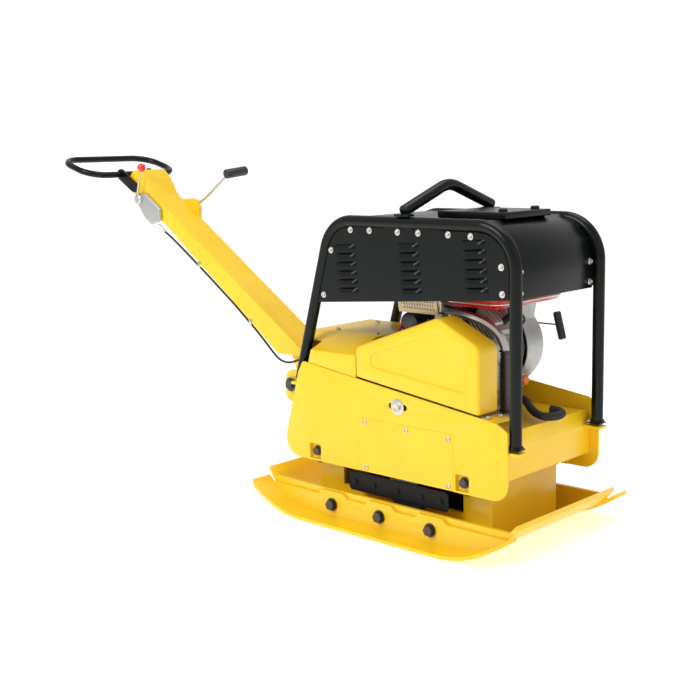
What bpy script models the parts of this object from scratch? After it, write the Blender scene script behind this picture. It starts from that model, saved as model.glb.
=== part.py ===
"""Reversible plate compactor, in metres.

The origin is on the ground at the middle of the base plate's sole. +X is forward, +Z is up, and -Y is the belt
side. Every piece hangs under an empty that stands on its body's joint axis.
"""

import math

import bmesh
import bpy
from mathutils import Matrix, Vector

# Fits
GAP = 0.0003  # between pieces that touch

# Base plate and its bolted extensions
PLATE_LENGTH = 0.89
PLATE_WIDTH = 0.45
PLATE_THICKNESS = 0.012
LIP_REACH = 0.205
SOLE_LENGTH = PLATE_LENGTH - 2 * LIP_REACH
LIP_RADIUS = 0.272
SIDE_WALL = 0.012
SIDE_WALL_HEIGHT = 0.085
SIDE_WALL_INSET = 0.015
SIDE_WALL_LENGTH = PLATE_LENGTH - 2 * SIDE_WALL_INSET
CRADLE_WALL = 0.010
CRADLE_HEIGHT = 0.078
EXTENSION_WIDTH = 0.075
EXTENSION_THICKNESS = 0.010
EXTENSION_LIFT = 0.001
EXTENSION_LIP_RADIUS = 0.335
EXTENSION_CORNER = 0.060
FLANGE_HEIGHT = 0.068
LUG_RISE = 0.014
LUG_LENGTH = 0.080
BOLT_PITCH = 0.178
BOLT_HEIGHT = 0.045
BOLT_RADIUS = 0.008
BOLT_HEAD_RADIUS = 0.0145
BOLT_HEAD_HEIGHT = 0.011
WASHER_RADIUS = 0.019
WASHER_THICKNESS = 0.003

# Isolator towers and isolators
TOWER_X = 0.2645
TOWER_LENGTH = 0.095
TOWER_HALF_WIDTH = 0.145
TOWER_TOP = 0.220
TOWER_WALL = 0.010
ISOLATOR_HEIGHT = 0.180
ISOLATOR_RADIUS = 0.037

# Exciter: two geared shafts with half-round masses
EXCITER_HEIGHT = 0.105
SHAFT_SPACING = 0.116
SHAFT_RADIUS = 0.014
MASS_RADIUS = 0.046
MASS_HALF_LENGTH = 0.060
CHAMBER_RADIUS = 0.052
HOUSING_HALF_LENGTH = 0.132
HOUSING_HALF_WIDTH = 0.115
HOUSING_TOP = 0.185
HOUSING_WALL = 0.015
GEAR_TEETH = 18
GEAR_WIDTH = 0.018
GEAR_BACKLASH = 0.0012
COVER_THICKNESS = 0.010
EXCITER_PULLEY_RADIUS = 0.055
PULLEY_WIDTH = 0.026
PULLEY_Y = -0.176
BELT_DEPTH = 0.010

# Suspended frame
FRAME_WIDTH = 0.4212
SIDE_PLATE = 0.006
FRAME_BOTTOM = 0.153
PANEL_X = 0.380
PANEL_SHEET = 0.004
PANEL_LEAN = 0.004
PANEL_FLANGE = 0.030
POST_TAB = 0.036
POST_TAB_SHEET = 0.008
PANEL_BOTTOM = 0.197
PANEL_FOLD = 0.261
PANEL_TOP = 0.320
DECK_TOP = 0.314
DECK_SHEET = 0.008
REAR_PANEL_X = -0.337
REAR_PANEL_SHEET = 0.006
REAR_PANEL_TOP = 0.425
REAR_PANEL_HALF = 0.160
REAR_TAB_TOP = 0.370
PAD_LENGTH = 0.100
PAD_HEIGHT = 0.080
PAD_DEPTH = 0.0103
POCKET = 0.044
POCKET_WEB = 0.0047
GUARD_LOW_X = -0.095
GUARD_HIGH_X = 0.235
GUARD_TOP = 0.304
GUARD_SHEET = 0.003
GUARD_LAP = 0.014

# Covers
COVER_SEAM_X = -0.104
COVER_FRONT_X = 0.318
COVER_INNER_Y = -0.125
COVER_SHEET = 0.0035
COVER_BEVEL = 0.012
COVER_LIFT = 0.0006

# Roll cage and hood
POST_FLANGE = 0.005
HOOP_RADIUS = 0.016
POST_CLEARANCE = 0.0026
HOOP_Y = FRAME_WIDTH / 2 - SIDE_PLATE - POST_CLEARANCE - HOOP_RADIUS
HOOP_TOP = 0.836
HOOP_FRONT_X = 0.4135
HOOP_FOOT_Z = 0.2865
HOOP_REAR_FOOT = (-0.3406, 0.378)
HOOP_LEAN = 0.298
FRONT_BEND = 0.11
REAR_BEND = 0.10
HOOD_SHEET = 0.003
HOOD_SIDE_Y = 0.190
HOOD_SIDE_LOW = (0.607, 0.658)
ROOF_TOP = 0.846
ROOF_CLEARANCE = 0.002
ROOF_HALF = HOOP_Y - HOOP_RADIUS - ROOF_CLEARANCE
ROOF_FRONT = ((0.300, 0.846), (0.355, 0.825), (0.392, 0.785), (0.404, 0.735), (0.404, 0.655))
HATCH_CENTRE_X = 0.21
HATCH_LENGTH = 0.22
HATCH_WIDTH = 0.20
HATCH_THICKNESS = 0.017
HATCH_Y = 0.0
LIFT_X = 0.060
LIFT_APEX = 0.922
LIFT_RADIUS = 0.0155
LIFT_BEND = 0.070

# Engine
CRANK_X = 0.115
CRANK_Z = 0.480
CRANK_RADIUS = 0.0125
DRUM_RADIUS = 0.066
BARREL_RADIUS = 0.088
CYLINDER_LEAN = math.radians(50)
CYLINDER_RADIUS = 0.064
FIN_COUNT = 5
FIN_PITCH = 0.009
STARTER = (-0.032, -0.070, 0.550)
STARTER_RADIUS = 0.032
MUFFLER_LOW = (-0.025, -0.110, 0.590)
MUFFLER_HIGH = (0.112, -0.005, 0.660)
AIR_CLEANER_LOW = (-0.030, 0.020, 0.612)
AIR_CLEANER_HIGH = (0.112, 0.150, 0.712)
ROPE_INSET = 0.026
RECOIL_RADIUS = 0.110
RECOIL_Y = 0.190
RECOIL_DEPTH = 0.036
ROPE_Z = 0.538
OIL_CAP = (0.241, 0.103, 0.396)
TANK_LOW = (0.125, -0.120, 0.615)
TANK_HIGH = (0.315, 0.183, 0.735)
FUEL_CAP_RADIUS = 0.030
TANK_ROUND = 0.030

# Drawbar (pole)
PIVOT = (-0.472, 0.0, 0.331)
POLE_WIDTH = 0.105
POLE_FOOT_Z = 0.408
POLE_UNDER = ((-1.114, 0.792), (-0.787, 0.560), (-0.589, 0.414))
POLE_OVER = ((-0.447, 0.4105), (-1.167, 0.887))
POLE_HEAD = ((-1.199, 0.938), (-1.236, 0.972), (-1.276, 0.966), (-1.322, 0.921))
POLE_ROOM = (
    (-0.520, 0.4525), (-1.165, 0.879), (-1.205, 0.925), (-1.240, 0.958), (-1.272, 0.955), (-1.305, 0.922),
    (-1.111, 0.801), (-0.787, 0.568), (-0.600, 0.431),
)
POLE_SHEET = 0.005
LUG_HALF_WIDTH = 0.032
LUG_RADIUS = 0.032
TOE = ((-0.490, 0.292), (-0.455, 0.335))
CHEEK_Y = 0.080
CHEEK_THICKNESS = 0.012
CHEEK_REAR_X = -0.505
CHEEK_LOW_Z = 0.240
CHEEK_TOP_Z = 0.375
CHEEK_CORNER = 0.045
PIVOT_TUBE_RADIUS = 0.026
PIN_RADIUS = 0.010
PIN_HEAD_RADIUS = 0.016
HANDLE_AXIS = (-1.262, 0.0, 0.912)
HANDLE_WIDTH = 0.37
HANDLE_DEPTH = 0.1835
HANDLE_BEND = 0.070
HANDLE_TILT = math.radians(16.5)
HANDLE_TUBE = 0.011
SHAFT_BAR_RADIUS = 0.011
ARM_GAP = 0.0025
ARM_THICKNESS = 0.008
HANDLE_BAR = (-1.332, 0.955)
THROTTLE_PIVOT = (-1.228, -0.071, 0.872)
LOCK_PIVOT = (-1.085, 0.0635, 0.850)
THROTTLE_BOX_DEPTH = 0.014
KNOB_RADIUS = 0.014
CABLE_RADIUS = 0.0035

# Places along the throttle cable
CABLE_ON_POLE = (
    (-1.134, -0.058, 0.785), (-1.118, -0.056, 0.772), (-1.080, -0.051, 0.747), (-1.030, -0.048, 0.713),
    (-0.985, -0.047, 0.683), (-0.940, -0.047, 0.653), (-0.890, -0.047, 0.620), (-0.840, -0.047, 0.586),
    (-0.780, -0.047, 0.545), (-0.725, -0.047, 0.504), (-0.680, -0.047, 0.470),
)
CABLE_TO_FRAME = (
    (-0.6797, -0.047, 0.4698), (-0.650, -0.048, 0.447), (-0.618, -0.050, 0.422), (-0.590, -0.053, 0.402),
    (-0.565, -0.057, 0.391), (-0.540, -0.061, 0.387), (-0.515, -0.064, 0.388), (-0.488, -0.066, 0.395),
    (-0.460, -0.068, 0.407), (-0.432, -0.069, 0.423), (-0.405, -0.070, 0.440), (-0.378, -0.070, 0.453),
    (-0.352, -0.070, 0.458),
)
DRAIN_HOSE = (
    (0.2260, 0.075, 0.352), (0.2450, 0.075, 0.352), (0.268, 0.065, 0.349), (0.290, 0.046, 0.343),
    (0.312, 0.028, 0.338), (0.336, 0.010, 0.3355), (0.360, -0.004, 0.335), (0.384, -0.008, 0.3355),
    (0.402, 0.003, 0.337), (0.408, 0.022, 0.339), (0.398, 0.038, 0.341), (0.380, 0.043, 0.343), (0.362, 0.040, 0.344),
)
HOSE_RADIUS = 0.011

COLOURS = {
    "yellow": ((0.87, 0.55, 0.03), 0.38, 0.0),
    "black_paint": ((0.012, 0.016, 0.014), 0.35, 0.0),
    "steel": ((0.45, 0.45, 0.46), 0.40, 1.0),
    "dark_steel": ((0.10, 0.10, 0.105), 0.45, 1.0),
    "cast_aluminium": ((0.52, 0.50, 0.46), 0.55, 0.8),
    "rubber": ((0.02, 0.02, 0.02), 0.80, 0.0),
    "black_plastic": ((0.02, 0.02, 0.02), 0.45, 0.0),
    "red_paint": ((0.62, 0.02, 0.015), 0.30, 0.0),
    "red_plastic": ((0.72, 0.01, 0.01), 0.25, 0.0),
    "orange_plastic": ((0.90, 0.25, 0.01), 0.45, 0.0),
    "beige_metal": ((0.48, 0.40, 0.27), 0.50, 0.5),
}


# ---------------------------------------------------------------- helpers


def clear_scene():
    for obj in list(bpy.data.objects):
        bpy.data.objects.remove(obj, do_unlink=True)


def material(name):
    found = bpy.data.materials.get(name)
    if found:
        return found
    colour, roughness, metallic = COLOURS[name]
    made = bpy.data.materials.new(name)
    made.use_nodes = True
    shader = made.node_tree.nodes["Principled BSDF"]
    shader.inputs["Base Color"].default_value = (*colour, 1.0)
    shader.inputs["Roughness"].default_value = roughness
    shader.inputs["Metallic"].default_value = metallic
    return made


def body(name, place=(0.0, 0.0, 0.0)):
    """An empty on a body's joint axis."""
    empty = bpy.data.objects.new("body_" + name, None)
    empty.location = place
    bpy.context.collection.objects.link(empty)
    return empty


def finish(obj, finish_name, parent, smooth=35):
    """Gives an object its material and parent and leaves it where it is."""
    obj.data.materials.clear()
    obj.data.materials.append(material(finish_name))
    obj.parent = parent
    obj.matrix_parent_inverse = Matrix.Translation(parent.location).inverted()
    obj.data.shade_smooth()
    obj.data.set_sharp_from_angle(angle=math.radians(smooth))
    return obj


def object_from(name, mesh_builder, place=(0.0, 0.0, 0.0)):
    mesh = bpy.data.meshes.new(name)
    bmesh.ops.recalc_face_normals(mesh_builder, faces=mesh_builder.faces)
    mesh_builder.to_mesh(mesh)
    mesh_builder.free()
    obj = bpy.data.objects.new(name, mesh)
    obj.location = place
    bpy.context.collection.objects.link(obj)
    return obj


def box(name, low, high):
    """A box between two corners."""
    made = bmesh.new()
    bmesh.ops.create_cube(made, size=1.0)
    size = Vector(high) - Vector(low)
    bmesh.ops.scale(made, vec=size, verts=made.verts)
    return object_from(name, made, (Vector(high) + Vector(low)) / 2)


def prism(name, outline, axis, low, high):
    """A flat outline pushed along X, Y or Z. The outline's two numbers are the other two axes, in order."""
    made = bmesh.new()
    spread = {"X": lambda a, b: (low, a, b), "Y": lambda a, b: (a, low, b), "Z": lambda a, b: (a, b, low)}[axis]
    face = made.faces.new([made.verts.new(spread(a, b)) for a, b in outline])
    pushed = bmesh.ops.extrude_face_region(made, geom=[face])
    moved = [item for item in pushed["geom"] if isinstance(item, bmesh.types.BMVert)]
    bmesh.ops.translate(made, vec=Vector("XYZ".index(axis) == i for i in range(3)) * (high - low), verts=moved)
    return object_from(name, made)


def turned(name, profile, axis, place, sides=24, phase=0.0):
    """A profile of (distance along the axis, radius) spun about an axis through place. Radius 0 closes an end."""
    made = bmesh.new()
    rows = []
    for along, radius in profile:
        if radius == 0:
            rows.append([made.verts.new((0, 0, along))])
            continue
        angles = [phase + math.tau * step / sides for step in range(sides)]
        rows.append([made.verts.new((radius * math.cos(a), radius * math.sin(a), along)) for a in angles])
    for row, following in zip(rows, rows[1:]):
        for step in range(sides):
            after = (step + 1) % sides
            if len(row) == 1:
                made.faces.new((row[0], following[step], following[after]))
            elif len(following) == 1:
                made.faces.new((row[step], row[after], following[0]))
            else:
                made.faces.new((row[step], row[after], following[after], following[step]))
    for row in (rows[0], rows[-1]):
        if len(row) > 1:
            made.faces.new(row)
    obj = object_from(name, made, place)
    obj.rotation_mode = "QUATERNION"
    obj.rotation_quaternion = Vector((0, 0, 1)).rotation_difference(Vector(axis))
    return obj


def cylinder(name, start, end, radius, sides=20):
    """A round bar between two points."""
    along = Vector(end) - Vector(start)
    return turned(name, ((0, radius), (along.length, radius)), along, start, sides)


def smooth_points(points, steps):
    """Points on a Catmull-Rom curve through the given ones."""
    places = [Vector(point) for point in points]
    padded = [2 * places[0] - places[1], *places, 2 * places[-1] - places[-2]]
    found = []
    for a, b, c, d in zip(padded, padded[1:], padded[2:], padded[3:]):
        for step in range(steps):
            t = step / steps
            found.append(
                0.5 * (2 * b + (c - a) * t + (2 * a - 5 * b + 4 * c - d) * t * t + (3 * b - a - 3 * c + d) * t**3)
            )
    return [*found, places[-1]]


def tube(name, points, radius, resolution=2, closed=False):
    """A round tube along points, made from a bevelled curve."""
    curve = bpy.data.curves.new(name, "CURVE")
    curve.dimensions = "3D"
    curve.bevel_depth = radius
    curve.bevel_resolution = resolution
    curve.use_fill_caps = True
    spline = curve.splines.new("POLY")
    spline.points.add(len(points) - 1)
    for point, place in zip(spline.points, points):
        point.co = (*place, 1.0)
    spline.use_cyclic_u = closed
    obj = bpy.data.objects.new(name, curve)
    bpy.context.collection.objects.link(obj)
    return obj


def as_mesh(obj):
    """The same object with its curve made a welded mesh, for a Boolean to use."""
    graph = bpy.context.evaluated_depsgraph_get()
    graph.update()
    mesh = bpy.data.meshes.new_from_object(obj.evaluated_get(graph))
    name = obj.name
    bpy.data.objects.remove(obj, do_unlink=True)
    made = bmesh.new()
    made.from_mesh(mesh)
    bmesh.ops.remove_doubles(made, verts=made.verts, dist=1e-6)
    return object_from(name, made)


def arc(centre, radius, start, end, steps=8):
    """Points on a circle in a plane, angles in degrees."""
    angles = [math.radians(start + (end - start) * step / steps) for step in range(steps + 1)]
    return [(centre[0] + radius * math.cos(a), centre[1] + radius * math.sin(a)) for a in angles]


def rounded(corners, radius, steps=5):
    """An outline whose convex corners are rounded. Radius is one number, or one for each corner."""
    radii = [radius] * len(corners) if isinstance(radius, (int, float)) else radius
    found = []
    for index, corner in enumerate(corners):
        here = Vector(corner)
        before = (Vector(corners[index - 1]) - here).normalized()
        after = (Vector(corners[(index + 1) % len(corners)]) - here).normalized()
        if radii[index] == 0:
            found.append(tuple(here))
            continue
        half = before.angle(after) / 2
        middle = here + (before + after).normalized() * radii[index] / math.sin(half)
        first = here + before * radii[index] / math.tan(half) - middle
        last = here + after * radii[index] / math.tan(half) - middle
        sweep = first.angle_signed(last)
        for step in range(steps + 1):
            turn = Matrix.Rotation(-sweep * step / steps, 2)
            found.append(tuple(middle + turn @ first))
    return found


def sheet_outline(path, thickness):
    """Outline of a bent sheet: a path, and the same path moved to its right by the sheet's thickness."""
    places = [Vector(point) for point in path]
    runs = [(after - before).normalized() for before, after in zip(places, places[1:])]
    moved = []
    for place, before, after in zip(places, [runs[0], *runs], [*runs, runs[-1]]):
        normal = Vector((before.y + after.y, -before.x - after.x)).normalized()
        moved.append(tuple(place + normal * thickness / normal.dot(Vector((before.y, -before.x)))))
    return [tuple(place) for place in places] + moved[::-1]


def combine(target, tool, operation):
    """Adds a Boolean with a hidden tool."""
    tool.hide_render = True
    tool.display_type = "WIRE"
    modifier = target.modifiers.new(operation.title(), "BOOLEAN")
    modifier.operation = operation
    modifier.object = tool
    modifier.solver = "EXACT"
    return target


def cut(target, tool):
    return combine(target, tool, "DIFFERENCE")


def add(target, tool):
    return combine(target, tool, "UNION")


def bevel(obj, width, segments=2, angle=40):
    modifier = obj.modifiers.new("Bevel", "BEVEL")
    modifier.width = width
    modifier.segments = segments
    modifier.limit_method = "ANGLE"
    modifier.angle_limit = math.radians(angle)
    return obj


# ---------------------------------------------------------------- base


def lip_height(x, radius=LIP_RADIUS):
    """Height of the sole's underside at x."""
    beyond = max(0.0, abs(x) - SOLE_LENGTH / 2)
    return radius - math.sqrt(radius**2 - beyond**2)


def sole_outline(half_length, thickness, lift, radius=LIP_RADIUS, steps=7):
    """Side outline of a plate that is flat in the middle and turns up at both ends."""
    half_sole = SOLE_LENGTH / 2
    xs = [half_sole + (half_length - half_sole) * step / steps for step in range(steps + 1)]
    rises = [lip_height(x, radius) for x in xs]
    under = [(x, lift + rise) for x, rise in zip(xs, rises)]
    over = [(x, lift + thickness * (1 + 0.25 * rise / rises[-1]) + rise) for x, rise in zip(xs, rises)]
    right = [*under, *reversed(over)]
    return [*right, *[(-x, z) for x, z in reversed(right)]]


def wall_outline(thickness, lift, radius, top, steps=8):
    """Side outline of an upright wall whose foot follows the middle of the sole's curve, under the given top line."""
    half_sole, reach = SOLE_LENGTH / 2, top[-1][0]
    xs = [half_sole + (reach - half_sole) * step / steps for step in range(steps + 1)]
    foot = [(x, min(lift + thickness / 2 + lip_height(x, radius), top[-1][1] - thickness / 4)) for x in xs]
    return [*[(-x, z) for x, z in reversed(foot)], *foot, *reversed(top)]


def make_base_plate(parent):
    half = PLATE_WIDTH / 2
    plate = prism("base_plate", sole_outline(PLATE_LENGTH / 2, PLATE_THICKNESS, 0.0), "Y", -half, half)
    wall = wall_outline(PLATE_THICKNESS, 0.0, LIP_RADIUS, [(-SIDE_WALL_LENGTH / 2, SIDE_WALL_HEIGHT),
                                                           (SIDE_WALL_LENGTH / 2, SIDE_WALL_HEIGHT)])
    for side in (-1, 1):
        edges = sorted((side * half, side * (half - SIDE_WALL)))
        add(plate, prism("side_wall", wall, "Y", *edges))
    for end in (-1, 1):
        outer = sorted((end * (TOWER_X - TOWER_LENGTH / 2), end * (TOWER_X + TOWER_LENGTH / 2)))
        low = (outer[0], -TOWER_HALF_WIDTH, PLATE_THICKNESS * 0.5)
        high = (outer[1], TOWER_HALF_WIDTH, TOWER_TOP)
        tower = box("tower", low, high)
        inner = sorted((end * (TOWER_X - TOWER_LENGTH), end * (TOWER_X + TOWER_LENGTH / 2 - TOWER_WALL)))
        room = box(
            "tower_room",
            (inner[0], TOWER_WALL - TOWER_HALF_WIDTH, PLATE_THICKNESS + 0.010),
            (inner[1], TOWER_HALF_WIDTH - TOWER_WALL, TOWER_TOP - TOWER_WALL),
        )
        cut(tower, room)
        add(plate, tower)
    reach = TOWER_X - TOWER_LENGTH / 2 + TOWER_WALL / 2
    for side in (-1, 1):
        edges = sorted((side * TOWER_HALF_WIDTH, side * (TOWER_HALF_WIDTH - CRADLE_WALL)))
        add(plate, box("cradle", (-reach, edges[0], PLATE_THICKNESS / 2), (reach, edges[1], CRADLE_HEIGHT)))
        for step in (-1, 0, 1):
            start = (step * BOLT_PITCH, side * (half - 2 * SIDE_WALL), BOLT_HEIGHT)
            end = (step * BOLT_PITCH, side * (half + SIDE_WALL), BOLT_HEIGHT)
            cut(plate, cylinder("wall_hole", start, end, BOLT_RADIUS + GAP, 16))
    return finish(plate, "yellow", parent)


def make_extension(name, side, parent):
    """A side strip with an upright flange and a foot that reaches out, its outer corner cut at one end."""
    inner = PLATE_WIDTH / 2 + GAP
    outer = PLATE_WIDTH / 2 + EXTENSION_WIDTH
    half = PLATE_LENGTH / 2
    edges = sorted((side * inner, side * outer))
    outline = sole_outline(half, EXTENSION_THICKNESS, EXTENSION_LIFT, EXTENSION_LIP_RADIUS)
    foot = prism(name, outline, "Y", *edges)
    plan = [(-half, inner), (half, inner), (half - EXTENSION_CORNER, outer), (-half, outer)]
    plan = rounded(plan, [0, 0, 0.02, 0.012])
    reach = prism("extension_plan", [(-side * x, side * y) for x, y in plan], "Z", -0.05, 0.2)
    combine(foot, reach, "INTERSECT")
    top = [(-SIDE_WALL_LENGTH / 2, FLANGE_HEIGHT)]
    for step in (-1, 0, 1):
        middle = step * BOLT_PITCH
        top += [
            (middle - LUG_LENGTH / 2 - LUG_RISE, FLANGE_HEIGHT),
            (middle - LUG_LENGTH / 2, FLANGE_HEIGHT + LUG_RISE),
            (middle + LUG_LENGTH / 2, FLANGE_HEIGHT + LUG_RISE),
            (middle + LUG_LENGTH / 2 + LUG_RISE, FLANGE_HEIGHT),
        ]
    top.append((SIDE_WALL_LENGTH / 2, FLANGE_HEIGHT))
    flange = wall_outline(EXTENSION_THICKNESS, EXTENSION_LIFT, EXTENSION_LIP_RADIUS, top)
    edges = sorted((side * inner, side * (inner + EXTENSION_THICKNESS)))
    add(foot, prism("extension_flange", flange, "Y", *edges))
    for step in (-1, 0, 1):
        start = (step * BOLT_PITCH, side * (inner - 0.01), BOLT_HEIGHT)
        end = (step * BOLT_PITCH, side * (inner + 0.03), BOLT_HEIGHT)
        cut(foot, cylinder("flange_hole", start, end, BOLT_RADIUS + GAP, 16))
    return finish(foot, "yellow", parent)


def make_extension_bolt(name, x, side, parent):
    """A hexagon bolt with its washer, from outside the flange to inside the plate's wall."""
    face = PLATE_WIDTH / 2 + EXTENSION_THICKNESS + 2 * GAP
    washer = face + WASHER_THICKNESS
    shank_end = PLATE_WIDTH / 2 - SIDE_WALL - 0.006
    place = (x, 0.0, BOLT_HEIGHT)
    axis = (0, side, 0)
    profile = (
        (shank_end, BOLT_RADIUS),
        (face, BOLT_RADIUS),
        (face, WASHER_RADIUS),
        (washer, WASHER_RADIUS),
        (washer, BOLT_HEAD_RADIUS * 0.8),
        (washer + 0.001, BOLT_HEAD_RADIUS * 0.8),
    )
    bolt = turned(name, profile, axis, place, 12)
    head = turned(
        "hexagon",
        ((washer + 0.0005, BOLT_HEAD_RADIUS), (washer + BOLT_HEAD_HEIGHT, BOLT_HEAD_RADIUS)),
        axis,
        place,
        6,
    )
    return finish(add(bolt, head), "dark_steel", parent)


def make_isolators(parent):
    """Rubber buffers that carry the frame in shear, one beside each end of each tower."""
    frame_pad = FRAME_WIDTH / 2 - SIDE_PLATE - PAD_DEPTH
    for end, end_name in ((1, "front"), (-1, "rear")):
        for side, side_name in ((-1, "near"), (1, "far")):
            low, high = TOWER_HALF_WIDTH + GAP, frame_pad - GAP
            profile = (
                (low, ISOLATOR_RADIUS),
                (low + 0.006, ISOLATOR_RADIUS),
                (low + 0.012, ISOLATOR_RADIUS - 0.004),
                (high - 0.012, ISOLATOR_RADIUS - 0.004),
                (high - 0.006, ISOLATOR_RADIUS),
                (high, ISOLATOR_RADIUS),
            )
            place = (end * TOWER_X, 0.0, ISOLATOR_HEIGHT)
            buffer = turned(f"isolator_{end_name}_{side_name}", profile, (0, side, 0), place, 16)
            finish(buffer, "rubber", parent)


# ---------------------------------------------------------------- exciter


def shaft_x(which):
    return which * SHAFT_SPACING / 2


def gear_chamber_y():
    return HOUSING_HALF_WIDTH - GEAR_WIDTH - 0.006


def make_exciter_housing(parent):
    low_z = PLATE_THICKNESS + GAP
    corners = [
        (-HOUSING_HALF_LENGTH, low_z),
        (HOUSING_HALF_LENGTH, low_z),
        (HOUSING_HALF_LENGTH, HOUSING_TOP),
        (-HOUSING_HALF_LENGTH, HOUSING_TOP),
    ]
    outline = rounded(corners, [0.004, 0.004, 0.05, 0.05])
    housing = prism("exciter_housing", outline, "Y", -HOUSING_HALF_WIDTH, HOUSING_HALF_WIDTH)
    wall_y = gear_chamber_y()
    for which in (-1, 1):
        x = shaft_x(which)
        start, end = (x, -HOUSING_HALF_WIDTH - 0.01, EXCITER_HEIGHT), (x, HOUSING_HALF_WIDTH + 0.01, EXCITER_HEIGHT)
        cut(housing, cylinder("shaft_bore", start, end, SHAFT_RADIUS + GAP, 24))
        start, end = (x, HOUSING_WALL - HOUSING_HALF_WIDTH, EXCITER_HEIGHT), (x, wall_y - 0.012, EXCITER_HEIGHT)
        cut(housing, cylinder("mass_chamber", start, end, CHAMBER_RADIUS, 32))
        start, end = (x, wall_y, EXCITER_HEIGHT), (x, HOUSING_HALF_WIDTH + 0.01, EXCITER_HEIGHT)
        cut(housing, cylinder("gear_chamber", start, end, SHAFT_SPACING / 2 + 0.012, 32))
    return finish(housing, "black_paint", parent)


def make_exciter_cover(parent):
    low_z = PLATE_THICKNESS + GAP
    reach = HOUSING_HALF_LENGTH
    outline = rounded(
        [(-reach, low_z), (reach, low_z), (reach, HOUSING_TOP), (-reach, HOUSING_TOP)], [0.004, 0.004, 0.05, 0.05]
    )
    low = HOUSING_HALF_WIDTH + GAP
    cover = prism("exciter_cover", outline, "Y", low, low + COVER_THICKNESS)
    for which in (-1, 1):
        x = shaft_x(which)
        start, end = (x, low + COVER_THICKNESS - 0.001, EXCITER_HEIGHT), (x, low + 0.016, EXCITER_HEIGHT)
        add(cover, cylinder("bearing_cap", start, end, 0.030, 24))
    return finish(cover, "cast_aluminium", parent)


def make_shaft(name, which, near_end, tooth_turn, parent):
    """A shaft with its gear and a half-round mass that hangs down at rest."""
    x = shaft_x(which)
    start, end = (x, near_end, EXCITER_HEIGHT), (x, HOUSING_HALF_WIDTH - 0.002, EXCITER_HEIGHT)
    shaft = cylinder(name, start, end, SHAFT_RADIUS, 24)
    half = [(x + a, EXCITER_HEIGHT + b) for a, b in arc((0.0, 0.0), MASS_RADIUS, 180, 360, 14)]
    middle = (HOUSING_WALL - HOUSING_HALF_WIDTH + gear_chamber_y() - 0.012) / 2
    add(shaft, prism("mass", half, "Y", middle - MASS_HALF_LENGTH, middle + MASS_HALF_LENGTH))
    low = gear_chamber_y() + 0.003
    gear = prism("gear", gear_outline((x, EXCITER_HEIGHT), tooth_turn), "Y", low, low + GEAR_WIDTH)
    return finish(add(shaft, gear), "steel", parent)


def gear_outline(centre, half_tooth_turn):
    """Involute teeth round a centre in the XZ plane, with a small backlash."""
    pitch = SHAFT_SPACING / 2
    module = SHAFT_SPACING / GEAR_TEETH
    pressure = math.radians(20)
    base = pitch * math.cos(pressure)
    outer, root = pitch + 0.9 * module, pitch - 1.15 * module

    def involute(radius):
        angle = math.acos(min(1.0, base / radius))
        return math.tan(angle) - angle

    half_pitch = math.pi / 2 / GEAR_TEETH - GEAR_BACKLASH / 2 / pitch
    flank = [max(root, base) + (outer - max(root, base)) * step / 2 for step in range(3)]
    points = []
    for tooth in range(GEAR_TEETH):
        middle = math.tau * tooth / GEAR_TEETH + half_tooth_turn
        offsets = [(radius, half_pitch + involute(pitch) - involute(radius)) for radius in flank]
        rise = [(root, offsets[0][1]), *offsets]
        side = [(radius, middle - offset) for radius, offset in rise]
        side += [(radius, middle + offset) for radius, offset in reversed(rise)]
        points += [(centre[0] + r * math.cos(a), centre[1] + r * math.sin(a)) for r, a in side]
    return points


def pulley_profile(radius, width):
    half = width / 2
    return (
        (-half, 0.022),
        (-half, radius),
        (-half + 0.004, radius),
        (-0.004, radius - 0.012),
        (0.004, radius - 0.012),
        (half - 0.004, radius),
        (half, radius),
        (half, 0.022),
    )


def make_pulley(name, place, radius, bore, finish_name, parent):
    pulley = turned(name, pulley_profile(radius, PULLEY_WIDTH), (0, 1, 0), place, 24)
    start = Vector(place) - Vector((0, PULLEY_WIDTH, 0))
    end = Vector(place) + Vector((0, PULLEY_WIDTH, 0))
    cut(pulley, cylinder("pulley_bore", start, end, bore + GAP, 24))
    return finish(pulley, finish_name, parent)


def belt_loop(radius_low, radius_high, steps=10):
    """Outline of a belt round both pulleys in the XZ plane."""
    low, high = Vector((shaft_x(1), EXCITER_HEIGHT)), Vector((CRANK_X, CRANK_Z))
    along = high - low
    lean = math.degrees(math.atan2(along.y, along.x))
    slope = math.degrees(math.asin((radius_high - radius_low) / along.length))
    upper = arc(tuple(high), radius_high, lean - 90 - slope, lean + 90 + slope, steps)
    lower = arc(tuple(low), radius_low, lean + 90 + slope, lean + 270 - slope, steps)
    return [*upper, *lower]


def make_belt(parent):
    outer_low, outer_high = EXCITER_PULLEY_RADIUS - 0.0005, DRUM_RADIUS - 0.0005
    half = 0.0030
    outer = prism("v_belt", belt_loop(outer_low, outer_high), "Y", PULLEY_Y - half, PULLEY_Y + half)
    inner = belt_loop(outer_low - BELT_DEPTH, outer_high - BELT_DEPTH)
    cut(outer, prism("belt_inside", inner, "Y", PULLEY_Y - 3 * half, PULLEY_Y + 3 * half))
    return finish(outer, "rubber", parent)


# ---------------------------------------------------------------- frame


def plate_top(x):
    """Height of the side plates' sloping upper edge."""
    return 0.398 - 0.125 * x


def side_plate_outline():
    """The rear edge leans with the cage's rear posts."""
    top_z = 0.404
    low_x = -0.326 - (top_z - FRAME_BOTTOM) * HOOP_LEAN
    corners = [
        (low_x, FRAME_BOTTOM),
        (0.406, FRAME_BOTTOM),
        (0.406, 0.333),
        (0.372, plate_top(0.372)),
        (-0.307, plate_top(-0.307)),
        (-0.326, top_z),
    ]
    return rounded(corners, [0.052, 0.044, 0.010, 0.010, 0.008, 0.010])


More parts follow.
